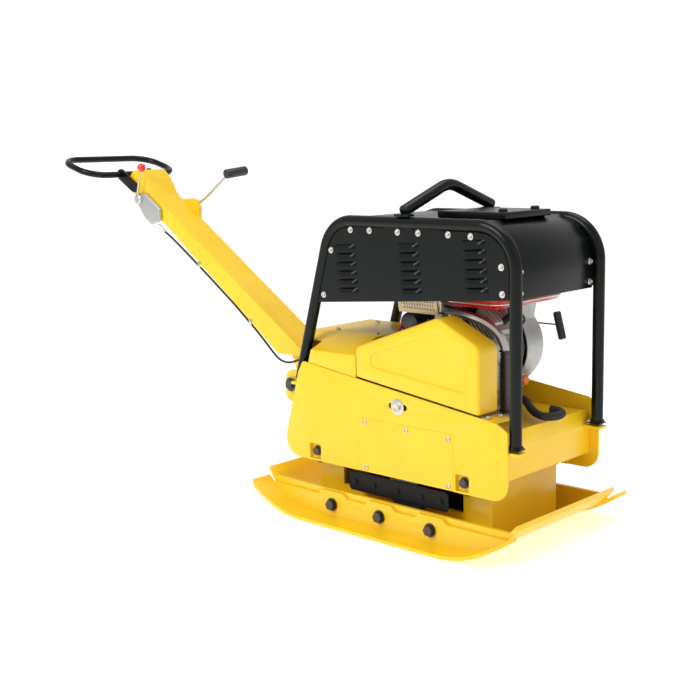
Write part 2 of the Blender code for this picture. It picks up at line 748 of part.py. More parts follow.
def make_side_plate(name, side, parent):
    outer = FRAME_WIDTH / 2
    inner = outer - SIDE_PLATE
    plate = prism(name, side_plate_outline(), "Y", *sorted((side * outer, side * inner)))
    pad_face = inner - PAD_DEPTH
    for end in (-1, 1):
        half = PAD_LENGTH / 2
        low_y, high_y = sorted((side * pad_face, side * (inner + 0.001)))
        low_z, high_z = ISOLATOR_HEIGHT - 0.025, ISOLATOR_HEIGHT + PAD_HEIGHT / 2
        add(plate, box("isolator_pad", (end * TOWER_X - half, low_y, low_z), (end * TOWER_X + half, high_y, high_z)))
        low_y, high_y = sorted((side * (pad_face + POCKET_WEB), side * (outer + 0.01)))
        low = (end * TOWER_X - POCKET / 2, low_y, ISOLATOR_HEIGHT - POCKET / 2)
        cut(plate, box("nut_pocket", low, (end * TOWER_X + POCKET / 2, high_y, ISOLATOR_HEIGHT + POCKET / 2)))
    if side < 0:
        cut_guard_opening(plate, outer)
        cut_tension_slot(plate)
    else:
        start, end = (CRANK_X, inner - 0.02, CRANK_Z), (CRANK_X, outer + 0.02, CRANK_Z)
        cut(plate, cylinder("recoil_relief", start, end, RECOIL_RADIUS + 0.004, 48))
    return finish(plate, "yellow", parent)


def cut_guard_opening(plate, outer):
    """A stepped opening at the plate's lower edge, which the lower belt guard closes."""
    step = outer - GUARD_SHEET - GAP
    low_z = FRAME_BOTTOM - 0.01
    seat = box("guard_seat", (GUARD_LOW_X - GAP, -outer - 0.01, low_z), (GUARD_HIGH_X + GAP, -step, GUARD_TOP + GAP))
    cut(plate, seat)
    window = box(
        "guard_window",
        (GUARD_LOW_X + GUARD_LAP, -outer - 0.01, low_z),
        (GUARD_HIGH_X - GUARD_LAP, -outer + 0.02, GUARD_TOP - GUARD_LAP),
    )
    cut(plate, window)


def cut_tension_slot(plate):
    left, right = arc((0.024, 0.351), 0.008, 90, 270, 6), arc((0.074, 0.351), 0.008, -90, 90, 6)
    cut(plate, prism("tension_slot", [*left, *right], "Y", -0.25, -0.15))


def make_lower_belt_guard(parent):
    outer = FRAME_WIDTH / 2
    guard = box(
        "lower_belt_guard", (GUARD_LOW_X, -outer, FRAME_BOTTOM + 0.001), (GUARD_HIGH_X, GUARD_SHEET - outer, GUARD_TOP)
    )
    return finish(guard, "yellow", parent)


def make_front_panel(parent):
    """Front cross panel, creased once, with two shelves for the cage's front posts."""
    half = FRAME_WIDTH / 2 - SIDE_PLATE - GAP
    x = PANEL_X
    path = [(x - PANEL_LEAN, PANEL_TOP), (x, PANEL_FOLD), (x, PANEL_BOTTOM), (x - PANEL_FLANGE, PANEL_BOTTOM)]
    panel = prism("front_panel", sheet_outline(path, PANEL_SHEET), "Y", -half, half)
    top = HOOP_FOOT_Z - POST_FLANGE - GAP
    for side in (-1, 1):
        low_y, high_y = sorted((side * half, side * (half - POST_TAB)))
        low = (x - PANEL_LEAN, low_y, top - POST_TAB_SHEET)
        add(panel, box("post_shelf", low, (HOOP_FRONT_X + HOOP_RADIUS + 0.003, high_y, top)))
    return finish(panel, "yellow", parent)


def make_rear_panel(parent):
    """Rear cross panel, with two shelves for the cage's rear posts."""
    half = FRAME_WIDTH / 2 - SIDE_PLATE - GAP
    thick = REAR_PANEL_SHEET / 2
    tab_low = REAR_TAB_TOP - POST_TAB_SHEET
    outline = [(-half, 0.165), (half, 0.165), (half, REAR_TAB_TOP), (REAR_PANEL_HALF, REAR_TAB_TOP)]
    outline += [(REAR_PANEL_HALF, REAR_PANEL_TOP), (-REAR_PANEL_HALF, REAR_PANEL_TOP)]
    outline += [(-REAR_PANEL_HALF, REAR_TAB_TOP), (-half, REAR_TAB_TOP)]
    panel = prism("rear_panel", outline, "X", REAR_PANEL_X - thick, REAR_PANEL_X + thick)
    for side in (-1, 1):
        low_y, high_y = sorted((side * half, side * (half - POST_TAB)))
        low_x = HOOP_REAR_FOOT[0] - 0.024
        add(panel, box("post_shelf", (low_x, low_y, tab_low), (REAR_PANEL_X + 0.030, high_y, REAR_TAB_TOP)))
    return finish(panel, "yellow", parent)


def make_pole_bracket(parent):
    """Back plate, two cheeks that hold the pivot pin, and a stop that the pole's toe rests against."""
    x, z = PIVOT[0], PIVOT[2]
    back = REAR_PANEL_X - REAR_PANEL_SHEET / 2 - GAP
    front = back - 0.006
    reach = CHEEK_Y + CHEEK_THICKNESS
    bracket = box("pole_bracket", (front, -reach - 0.010, CHEEK_LOW_Z - 0.005), (back, reach + 0.010, CHEEK_TOP_Z))
    corners = [(back - 0.001, CHEEK_LOW_Z), (back - 0.001, CHEEK_TOP_Z), (CHEEK_REAR_X, CHEEK_TOP_Z)]
    corners += [(CHEEK_REAR_X, z - CHEEK_CORNER), (back - 0.060, CHEEK_LOW_Z)]
    cheek = rounded(corners, [0, 0, CHEEK_CORNER * 0.8, 0.02, 0.02])
    for side in (-1, 1):
        add(bracket, prism("cheek", cheek, "Y", *sorted((side * CHEEK_Y, side * reach))))
        start, end = (x, side * (CHEEK_Y - 0.02), z), (x, side * (reach + 0.02), z)
        cut(bracket, cylinder("cheek_hole", start, end, PIN_RADIUS + GAP, 24))
    toe_face, toe_low = TOE[1][0], TOE[0][1]
    add(bracket, box("pole_stop", (toe_face + GAP, -0.022, toe_low - 0.004), (back - 0.003, 0.022, toe_low + 0.010)))
    return finish(bracket, "yellow", parent)


def make_pivot_pin(parent):
    x, z = PIVOT[0], PIVOT[2]
    head = CHEEK_Y + CHEEK_THICKNESS + GAP
    profile = (
        (-head - 0.010, PIN_HEAD_RADIUS),
        (-head, PIN_HEAD_RADIUS),
        (-head, PIN_RADIUS),
        (head, PIN_RADIUS),
        (head, PIN_HEAD_RADIUS),
        (head + 0.010, PIN_HEAD_RADIUS),
    )
    return finish(turned("pivot_pin", profile, (0, 1, 0), (x, 0.0, z), 24), "dark_steel", parent)


def make_deck(parent):
    """Engine deck between the side plates, with a slot for the belt."""
    half = FRAME_WIDTH / 2 - SIDE_PLATE - GAP
    rear = REAR_PANEL_X + REAR_PANEL_SHEET / 2 + GAP
    front = PANEL_X - PANEL_LEAN - PANEL_SHEET - GAP
    deck = box("engine_deck", (rear, -half, DECK_TOP - DECK_SHEET), (front, half, DECK_TOP))
    cut(deck, box("belt_slot", (-0.010, -half + 0.010, 0.25), (0.200, -0.148, 0.35)))
    return finish(deck, "yellow", parent)


def make_belt_cover(parent):
    """Moulded cover over the clutch, hollow and open towards the engine and the deck."""
    outer = FRAME_WIDTH / 2
    base_x, front_x = COVER_SEAM_X + GAP, COVER_FRONT_X
    corners = [
        (base_x, plate_top(base_x) + COVER_LIFT),
        (front_x, plate_top(front_x) + COVER_LIFT),
        (front_x, 0.536),
        (0.184, 0.601),
        (base_x, 0.4975),
    ]
    cover = prism("belt_cover", rounded(corners, [0, 0, 0.030, 0.030, 0]), "Y", -outer, COVER_INNER_Y)
    bevel(cover, COVER_BEVEL, 3, 50)
    sheet = COVER_SHEET
    inside = [
        (base_x + sheet, 0.30),
        (front_x - sheet, 0.30),
        (front_x - sheet, 0.534),
        (0.184, 0.601 - 1.1 * sheet),
        (base_x + sheet, 0.4975),
    ]
    room = prism("cover_room", rounded(inside, [0, 0, 0.027, 0.027, 0]), "Y", sheet - outer, COVER_INNER_Y + 0.03)
    cut(cover, bevel(room, COVER_BEVEL - sheet, 3, 50))
    inset = rounded([(-0.050, 0.450), (0.276, 0.415), (0.276, 0.505), (0.188, 0.560), (-0.040, 0.484)], 0.012)
    cut(cover, prism("cover_inset", inset, "Y", -outer - 0.01, 0.0015 - outer))
    return finish(cover, "yellow", parent)


def make_rear_cover(parent):
    """Cover over the battery, sloping down to both sides and open underneath."""
    rear, front = -0.352, COVER_SEAM_X
    reach, top, shoulder, slope = FRAME_WIDTH / 2 - 0.0025, 0.513, 0.472, 0.085
    sheet = COVER_SHEET

    def section(shrink):
        low = 0.30 - shrink * 10
        side = [(reach - shrink, low), (reach - shrink, shoulder - shrink * 0.6), (reach - slope, top - shrink)]
        return [*side, *[(-y, z) for y, z in reversed(side)]]

    cover = prism("rear_cover", section(0.0), "X", rear, front)
    floor = [(rear - 0.05, 0.2), (front + 0.05, 0.2), (front + 0.05, plate_top(front + 0.05) + COVER_LIFT)]
    floor += [(rear - 0.05, plate_top(rear - 0.05) + COVER_LIFT)]
    cut(cover, prism("cover_floor", floor, "Y", -0.3, 0.3))
    cut(cover, prism("battery_room", section(sheet), "X", rear + sheet, front - sheet))
    for side in (-1, 1):
        notch = [(-0.40, 0.40), (-0.297, 0.40), (-0.262, 0.52), (-0.40, 0.52)]
        edges = sorted((side * (HOOP_Y - HOOP_RADIUS - 0.006), side * 0.3))
        cut(cover, prism("post_notch", notch, "Y", *edges))
    _, end_y, end_z = CABLE_TO_FRAME[-1]
    start, end = (rear - 0.02, end_y, end_z), (rear + 0.02, end_y, end_z)
    cut(cover, cylinder("cable_hole", start, end, CABLE_RADIUS + 2 * GAP, 12))
    return finish(cover, "yellow", parent)


def make_battery(parent):
    low, high = (-0.290, -0.085, DECK_TOP + GAP), (-0.130, 0.085, 0.462)
    battery = bevel(box("battery", low, high), 0.004, 1)
    for side in (-1, 1):
        start, end = (-0.265, side * 0.06, 0.455), (-0.265, side * 0.06, 0.478)
        add(battery, cylinder("battery_post", start, end, 0.008, 12))
    return finish(battery, "black_plastic", parent)


# ---------------------------------------------------------------- cage and hood


def hoop_path(inset=0.0, steps=6):
    """Side path of a hoop: leaning rear post, two bends and an upright front post."""
    lean = math.atan(HOOP_LEAN)
    top = HOOP_TOP - inset
    front = HOOP_FRONT_X - inset
    foot = Vector(HOOP_REAR_FOOT)
    shift = inset / math.cos(lean)
    foot_x = foot.x + shift
    bend = REAR_BEND - inset
    centre_z = top - bend
    centre_x = foot_x + (centre_z - foot.y) * HOOP_LEAN + bend / math.cos(lean)
    turn = math.degrees(lean)
    rear = arc((centre_x, centre_z), bend, 180 - turn, 90, steps)
    front_bend = FRONT_BEND - inset
    fore = arc((front - front_bend, top - front_bend), front_bend, 90, 0, steps)
    return [(foot_x, foot.y), *rear, *fore, (front, HOOP_FOOT_Z)]


def make_hoop(name, side, parent):
    """Bent tube with a small flange under each foot."""
    points = [(x, side * HOOP_Y, z) for x, z in hoop_path()]
    hoop = as_mesh(tube(name, points, HOOP_RADIUS, 3))
    half = HOOP_RADIUS + 0.001
    low_y, high_y = sorted((side * HOOP_Y - half, side * HOOP_Y + half))
    for x, z in ((HOOP_FRONT_X, HOOP_FOOT_Z), (HOOP_REAR_FOOT[0], REAR_TAB_TOP + GAP + POST_FLANGE)):
        low, high = (x - half, low_y, z - POST_FLANGE), (x + half, high_y, z + 0.003)
        add(hoop, box("post_flange", low, high))
    return finish(hoop, "black_paint", parent)


def hood_side_outline():
    """Hood side panel: inside the hoop's tube above, and a straight rising edge below."""
    inset = HOOP_RADIUS + GAP
    path = hoop_path(inset)
    rear_low, front_low = HOOD_SIDE_LOW
    rear_x = path[0][0] + (rear_low - path[0][1]) * HOOP_LEAN
    return [(rear_x, rear_low), *path[1:-1], (HOOP_FRONT_X - inset, front_low)]


def make_hood_side(name, side, parent):
    edges = sorted((side * HOOD_SIDE_Y, side * (HOOD_SIDE_Y + HOOD_SHEET)))
    return finish(prism(name, hood_side_outline(), "Y", *edges), "black_paint", parent)


def make_roof(parent):
    """Sheet between the hoops, down to a lower edge in front and behind, with an opening over the fuel cap."""
    path = hoop_path(HOOP_TOP - ROOF_TOP)
    foot = Vector(path[0])
    rear_low = HOOD_SIDE_LOW[0] + 0.045
    rear_arc = path[1:8]
    rear_end = (foot.x + (rear_low - foot.y) * HOOP_LEAN, rear_low)
    roof = prism("hood_roof", sheet_outline([rear_end, *rear_arc, *ROOF_FRONT], HOOD_SHEET), "Y", -ROOF_HALF, ROOF_HALF)
    half_length, half_width = HATCH_LENGTH / 2 - 0.02, HATCH_WIDTH / 2 - 0.02
    low = (HATCH_CENTRE_X - half_length, HATCH_Y - half_width, ROOF_TOP - 0.05)
    cut(roof, box("filler_opening", low, (HATCH_CENTRE_X + half_length, HATCH_Y + half_width, ROOF_TOP + 0.05)))
    return finish(roof, "black_paint", parent)


def make_hatch(parent):
    """Shallow lid over the fuel filler opening, hinged along its rear edge, with two turn knobs."""
    half_length, half_width = HATCH_LENGTH / 2, HATCH_WIDTH / 2
    low_z = ROOF_TOP + GAP
    low = (HATCH_CENTRE_X - half_length, HATCH_Y - half_width, low_z)
    high = (HATCH_CENTRE_X + half_length, HATCH_Y + half_width, low_z + HATCH_THICKNESS)
    lid = bevel(box("roof_hatch", low, high), 0.002, 1)
    sheet = 0.003
    inner_low = (low[0] + sheet, low[1] + sheet, low_z - 0.01)
    cut(lid, box("lid_room", inner_low, (high[0] - sheet, high[1] - sheet, high[2] - sheet)))
    for side in (-1, 1):
        x, y = high[0] - 0.030, HATCH_Y + side * 0.070
        knob = turned("lid_knob", ((-0.001, 0.012), (0.006, 0.012), (0.009, 0.008)), (0, 0, 1), (x, y, high[2]), 16)
        add(lid, knob)
    return finish(lid, "black_paint", parent)


def make_lifting_bar(parent):
    """Bent tube that stands across the two hoops, over the centre of gravity."""
    foot_z = HOOP_TOP + HOOP_RADIUS + GAP
    leg_z = foot_z + LIFT_RADIUS * 0.9
    turn = math.atan2(LIFT_APEX - leg_z, HOOP_Y)
    crown_z = LIFT_APEX - LIFT_BEND
    crown = arc((0.0, crown_z), LIFT_BEND, 90 - math.degrees(turn), 90 + math.degrees(turn), 6)
    path = [(HOOP_Y, leg_z), *crown, (-HOOP_Y, leg_z)]
    bar = as_mesh(tube("lifting_bar", [(LIFT_X, y, z) for y, z in path], LIFT_RADIUS, 3))
    for side in (-1, 1):
        y = side * HOOP_Y
        add(bar, box("bar_foot", (LIFT_X - 0.026, y - 0.015, foot_z), (LIFT_X + 0.026, y + 0.015, foot_z + 0.007)))
        low = (LIFT_X - 0.05, y - 0.05, foot_z - 0.05)
        cut(bar, box("bar_trim", low, (LIFT_X + 0.05, y + 0.05, foot_z)))
    return finish(bar, "black_paint", parent)


# ---------------------------------------------------------------- engine


def make_crankcase(parent):
    """Case with the stays for the starter, the silencer and the tank."""
    case = box("crankcase", (0.010, -0.105, DECK_TOP + GAP), (0.215, 0.118, 0.372))
    add(case, cylinder("case_barrel", (CRANK_X, -0.112, CRANK_Z), (CRANK_X, 0.120, CRANK_Z), BARREL_RADIUS, 28))
    add(case, box("case_middle", (0.036, -0.100, 0.365), (0.194, 0.114, 0.480)))
    boss_y = OIL_CAP[1]
    add(case, cylinder("filler_boss", (0.190, boss_y, OIL_CAP[2]), (0.231, boss_y, OIL_CAP[2]), 0.018, 16))
    add(case, cylinder("drain_boss", (0.205, 0.075, 0.352), (0.2250, 0.075, 0.352), 0.013, 16))
    starter_face = STARTER[0] + STARTER_RADIUS + GAP
    add(case, box("starter_stay", (starter_face, -0.030, 0.535), (0.070, 0.035, 0.560)))
    add(case, box("silencer_stay", (0.080, -0.090, 0.540), (0.105, -0.060, MUFFLER_LOW[2] - GAP)))
    add(case, box("tank_stay", (0.150, 0.056, 0.520), (0.175, 0.110, TANK_LOW[2] - GAP)))
    start, end = (CRANK_X, -0.13, CRANK_Z), (CRANK_X, 0.14, CRANK_Z)
    cut(case, cylinder("crank_bore", start, end, CRANK_RADIUS + GAP, 24))
    return finish(case, "cast_aluminium", parent)


def make_cylinder(parent):
    """Finned cylinder and head, leaning forward from the crankcase."""
    rows = [(0.0, 0.050)]
    for index in range(FIN_COUNT):
        along = 0.004 + FIN_PITCH * index
        thick = along + FIN_PITCH * 0.45
        rows += [(along, 0.050), (along, CYLINDER_RADIUS), (thick, CYLINDER_RADIUS), (thick, 0.050)]
    end = 0.006 + FIN_PITCH * FIN_COUNT
    rows += [(end, 0.050), (end, 0.060), (end + 0.010, 0.058), (end + 0.014, 0.050)]
    direction = Vector((math.sin(CYLINDER_LEAN), 0.0, math.cos(CYLINDER_LEAN)))
    start = Vector((CRANK_X, 0.0, CRANK_Z)) + (BARREL_RADIUS + GAP) * direction
    return finish(turned("cylinder", rows, direction, start, 4, math.pi / 4), "cast_aluminium", parent, 20)


def make_fan_cover(parent):
    """Blower housing round the flywheel, open towards the crankcase."""
    low, high = 0.1215, RECOIL_Y - GAP
    points = arc((CRANK_X, CRANK_Z), 0.118, 150, 400, 20)
    points += [(CRANK_X + 0.10, CRANK_Z + 0.125), (CRANK_X - 0.06, CRANK_Z + 0.125)]
    cover = prism("fan_cover", points, "Y", low, high)
    sheet = 0.003
    start, end = (CRANK_X, low - 0.01, CRANK_Z), (CRANK_X, high - sheet, CRANK_Z)
    cut(cover, cylinder("flywheel_room", start, end, 0.118 - sheet, 32))
    cut(cover, cylinder("starter_opening", start, (CRANK_X, high + 0.01, CRANK_Z), 0.070, 28))
    return finish(cover, "cast_aluminium", parent)


def make_recoil_cover(parent):
    """Dished starter cover with a slot at its edge for the rope."""
    profile = (
        (0.0, RECOIL_RADIUS),
        (RECOIL_DEPTH * 0.5, RECOIL_RADIUS),
        (RECOIL_DEPTH * 0.8, RECOIL_RADIUS - 0.010),
        (RECOIL_DEPTH, RECOIL_RADIUS - 0.030),
        (RECOIL_DEPTH, 0.040),
        (RECOIL_DEPTH + 0.004, 0.034),
        (RECOIL_DEPTH + 0.004, 0.0),
    )
    place = (CRANK_X, RECOIL_Y + GAP, CRANK_Z)
    cover = turned("recoil_cover", profile, (0, 1, 0), place, 32)
    start, end = (CRANK_X, RECOIL_Y - 0.01, CRANK_Z), (CRANK_X, RECOIL_Y + RECOIL_DEPTH - 0.006, CRANK_Z)
    cut(cover, cylinder("reel_room", start, end, RECOIL_RADIUS - 0.014, 32))
    y = RECOIL_Y + ROPE_INSET
    slot_start, slot_end = (CRANK_X + 0.05, y, ROPE_Z), (CRANK_X + 0.15, y, ROPE_Z)
    cut(cover, cylinder("rope_hole", slot_start, slot_end, 0.0045, 12))
    return finish(cover, "cast_aluminium", parent)


def make_recoil_grip(parent):
    """T grip on the straight stretch of its rope, which reaches back into the starter cover."""
    y = RECOIL_Y + ROPE_INSET
    rope = cylinder("recoil_grip", (0.052, y, ROPE_Z), (0.262, y, ROPE_Z), 0.0022, 10)
    low, high = (0.262, y, ROPE_Z + 0.036), (0.278, y + 0.006, ROPE_Z - 0.040)
    handle = bevel(cylinder("grip_bar", low, high, 0.0112, 16), 0.003, 1)
    return finish(add(rope, handle), "black_plastic", parent)


def make_tank(parent):
    low, high = TANK_LOW, TANK_HIGH
    tank = bevel(box("fuel_tank", low, high), TANK_ROUND, 4)
    x, y = HATCH_CENTRE_X, HATCH_Y
    add(tank, cylinder("filler_neck", (x, y, high[2] - 0.01), (x, y, high[2] + 0.016), 0.024, 24))
    return finish(tank, "red_paint", parent)


def make_fuel_cap(parent):
    profile = ((0.0, FUEL_CAP_RADIUS), (0.014, FUEL_CAP_RADIUS), (0.018, FUEL_CAP_RADIUS - 0.005))
    place = (HATCH_CENTRE_X, HATCH_Y, TANK_HIGH[2] + 0.016 + GAP)
    cap = turned("fuel_cap", profile, (0, 0, 1), place, 24)
    return finish(cap, "black_plastic", parent)


def make_oil_cap(parent):
    profile = ((0.0, 0.0145), (0.010, 0.0145), (0.012, 0.011))
    cap = turned("oil_cap", profile, (1, 0, 0), (0.231 + GAP, OIL_CAP[1], OIL_CAP[2]), 8)
    return finish(cap, "orange_plastic", parent)


def make_air_cleaner(parent):
    cleaner = bevel(box("air_cleaner", AIR_CLEANER_LOW, AIR_CLEANER_HIGH), 0.012, 2)
    x, y, low = 0.060, 0.085, AIR_CLEANER_LOW[2]
    add(cleaner, cylinder("intake", (x, y, CRANK_Z + BARREL_RADIUS + 0.002), (x, y, low + 0.005), 0.022, 16))
    return finish(cleaner, "black_plastic", parent)


def make_muffler(parent):
    """Silencer box behind the cylinder, with its outlet pipe led forward and down to the deck."""
    muffler = bevel(box("muffler", MUFFLER_LOW, MUFFLER_HIGH), 0.010, 2)
    route = [
        (0.095, -0.080, 0.607),
        (0.125, -0.082, 0.600),
        (0.160, -0.084, 0.596),
        (0.200, -0.080, 0.588),
        (0.240, -0.070, 0.572),
        (0.270, -0.058, 0.544),
        (0.283, -0.051, 0.505),
        (0.285, -0.050, 0.460),
        (0.285, -0.050, 0.330),
    ]
    pipe = as_mesh(tube("outlet_pipe", smooth_points(route, 3), 0.0125, 2))
    return finish(add(muffler, pipe), "steel", parent)


def make_electric_starter(parent):
    radius = STARTER_RADIUS
    profile = ((0.0, radius * 0.55), (0.004, radius - 0.002), (0.012, radius), (0.105, radius), (0.115, radius * 0.75))
    return finish(turned("electric_starter", profile, (0, 1, 0), STARTER, 24), "dark_steel", parent)


def make_crankshaft(parent):
    """Crankshaft stub, clutch hub inside the drum and flywheel inside the fan cover."""
    hub, disc = 0.036, 0.098
    profile = (
        (-0.196, CRANK_RADIUS),
        (-0.172, CRANK_RADIUS),
        (0.124, CRANK_RADIUS),
        (0.124, 0.020),
        (0.134, 0.020),
        (0.134, disc),
        (0.160, disc),
        (0.160, hub),
        (0.182, hub),
    )
    shaft = turned("crankshaft", profile, (0, 1, 0), (CRANK_X, 0.0, CRANK_Z), 28)
    return finish(shaft, "steel", parent)


def make_drain_hose(parent):
    hose = as_mesh(tube("drain_hose", smooth_points(DRAIN_HOSE, 2), HOSE_RADIUS, 2))
    return finish(hose, "rubber", parent)


# ---------------------------------------------------------------- pole


def make_pole(parent):
    """Tapering box beam with a rounded control head, and a lug at its foot that turns on the pivot pin."""
    under, over = list(POLE_UNDER), list(POLE_OVER)
    foot_slope = (under[1][1] - under[2][1]) / (under[1][0] - under[2][0])
    foot_x = under[2][0] + (POLE_FOOT_Z - under[2][1]) / foot_slope
    corners = [(over[0][0], POLE_FOOT_Z), *over, *POLE_HEAD, *under[:2], (foot_x, POLE_FOOT_Z)]
    radii = [0, 0, 0.012, 0.010, 0.022, 0.022, 0.010, 0, 0, 0.024]
    half = POLE_WIDTH / 2
    pole = prism("pole_beam", rounded(corners, radii, 4), "Y", -half, half)
    bevel(pole, 0.003, 1, 50)
    cut(pole, prism("pole_room", POLE_ROOM, "Y", POLE_SHEET - half, half - POLE_SHEET))
    x, z = PIVOT[0], PIVOT[2]
    lug = [(over[0][0] - 0.003, POLE_FOOT_Z + 0.006), (foot_x + 0.040, POLE_FOOT_Z + 0.006)]
    lug += arc((x, z), LUG_RADIUS, 195, 375, 10)
    add(pole, prism("pivot_lug", lug, "Y", -LUG_HALF_WIDTH, LUG_HALF_WIDTH))
    y = CHEEK_Y - GAP
    add(pole, cylinder("pivot_tube", (x, -y, z), (x, y, z), PIVOT_TUBE_RADIUS, 24))
    add(pole, box("toe", (TOE[0][0], -0.020, TOE[0][1]), (TOE[1][0], 0.020, TOE[1][1])))
    bracket = [(-1.143, 0.825), (-1.060, 0.775), (-1.057, 0.842), (-1.070, 0.868), (-1.100, 0.872), (-1.143, 0.868)]
    add(pole, prism("lock_bracket", rounded(bracket, 0.006, 3), "Y", half - 0.002, LOCK_PIVOT[1] - GAP))
    cut(pole, cylinder("pin_bore", (x, -0.2, z), (x, 0.2, z), PIN_RADIUS + GAP, 24))
    hx, hz = HANDLE_AXIS[0], HANDLE_AXIS[2]
    cut(pole, cylinder("handle_bore", (hx, -0.2, hz), (hx, 0.2, hz), SHAFT_BAR_RADIUS + GAP, 20))
    return finish(pole, "yellow", parent)


def make_control_handle(parent):
    """Closed loop on two arms, which turn on a shaft through the pole's head."""
    bar_x, bar_z = HANDLE_BAR
    half = HANDLE_WIDTH / 2
    plan = rounded([(0.0, -half), (0.0, half), (HANDLE_DEPTH, half), (HANDLE_DEPTH, -half)], HANDLE_BEND, 6)
    rise, back = math.sin(HANDLE_TILT), math.cos(HANDLE_TILT)
    points = [(bar_x - a * back, y, bar_z + a * rise) for a, y in plan]
    loop = as_mesh(tube("control_handle", points, HANDLE_TUBE, 2, closed=True))
    hx, hz = HANDLE_AXIS[0], HANDLE_AXIS[2]
    inner = POLE_WIDTH / 2 + ARM_GAP
    outer = inner + ARM_THICKNESS
    add(loop, cylinder("handle_shaft", (hx, -outer + 0.002, hz), (hx, outer - 0.002, hz), SHAFT_BAR_RADIUS, 20))
    lean = math.degrees(math.atan2(hz - bar_z, hx - bar_x))
    outline = arc((bar_x, bar_z), 0.019, lean + 90, lean + 270, 6) + arc((hx, hz), 0.017, lean - 90, lean + 90, 6)
    for side in (-1, 1):
        add(loop, prism("handle_arm", outline, "Y", *sorted((side * inner, side * outer))))
    return finish(loop, "black_paint", parent)


def make_throttle_box(parent):
    """Flat housing on the pole's near face that carries the throttle lever."""
    near = -POLE_WIDTH / 2 - GAP
    corners = [(-1.122, 0.802), (-1.122, 0.842), (-1.196, 0.893), (-1.240, 0.893), (-1.248, 0.866), (-1.206, 0.812)]
    corners += [(-1.170, 0.788)]
    housing = prism("throttle_box", rounded(corners, 0.010, 3), "Y", near - THROTTLE_BOX_DEPTH, near)
    bevel(housing, 0.003, 1, 50)
    return finish(housing, "cast_aluminium", parent)


def lever_face_y():
    return -POLE_WIDTH / 2 - THROTTLE_BOX_DEPTH - 2 * GAP


def make_throttle_lever(parent):
    x, _, z = THROTTLE_PIVOT
    low = lever_face_y()
    lever = turned("throttle_lever", ((0.0, 0.017), (0.006, 0.017), (0.009, 0.012)), (0, -1, 0), (x, low, z), 20)
    rod = [(x, low - 0.004, z), (x + 0.004, low - 0.006, z + 0.030), (x + 0.016, low - 0.007, z + 0.064)]
    rod += [(x + 0.027, low - 0.007, z + 0.094)]
    add(lever, as_mesh(tube("lever_rod", smooth_points(rod, 3), 0.0036, 2)))
    return finish(lever, "steel", parent)


def make_throttle_knob(parent):
    x, _, z = THROTTLE_PIVOT
    steps = [math.radians(15 * step) for step in range(2, 11)]
    profile = [(KNOB_RADIUS * (1 - math.cos(a)), KNOB_RADIUS * math.sin(a)) for a in steps]
    place = (x + 0.028, lever_face_y() - 0.007, z + 0.0935)
    return finish(turned("throttle_knob", profile, (0.28, 0.0, 1.0), place, 16), "red_plastic", parent)


def make_lock_lever(parent):
    x, y, z = LOCK_PIVOT
    lever = turned("lock_lever", ((0.0, 0.012), (0.008, 0.012), (0.010, 0.009)), (0, 1, 0), (x, y, z), 20)
    rod = [(x, y + 0.005, z), (x + 0.040, y + 0.006, z + 0.020), (x + 0.158, y + 0.006, z + 0.098)]
    add(lever, as_mesh(tube("lock_rod", rod, 0.0042, 2)))
    start, end = Vector((x + 0.166, y - 0.008, z + 0.103)), Vector((x + 0.172, y + 0.076, z + 0.112))
    add(lever, bevel(cylinder("lock_grip", start, end, 0.0155, 16), 0.004, 2))
    return finish(lever, "black_plastic", parent)


def make_cables(pole, frame):
    on_the_pole = tube("throttle_cable", smooth_points(CABLE_ON_POLE, 2), CABLE_RADIUS, 2)
    finish_curve(on_the_pole, "rubber", pole)
    crossing = tube("throttle_cable_loop", smooth_points(CABLE_TO_FRAME, 2), CABLE_RADIUS, 2)
    finish_curve(crossing, "rubber", frame)


def finish_curve(obj, finish_name, parent):
    obj.data.materials.append(material(finish_name))
    obj.parent = parent
    obj.matrix_parent_inverse = Matrix.Translation(parent.location).inverted()


# ---------------------------------------------------------------- assembly


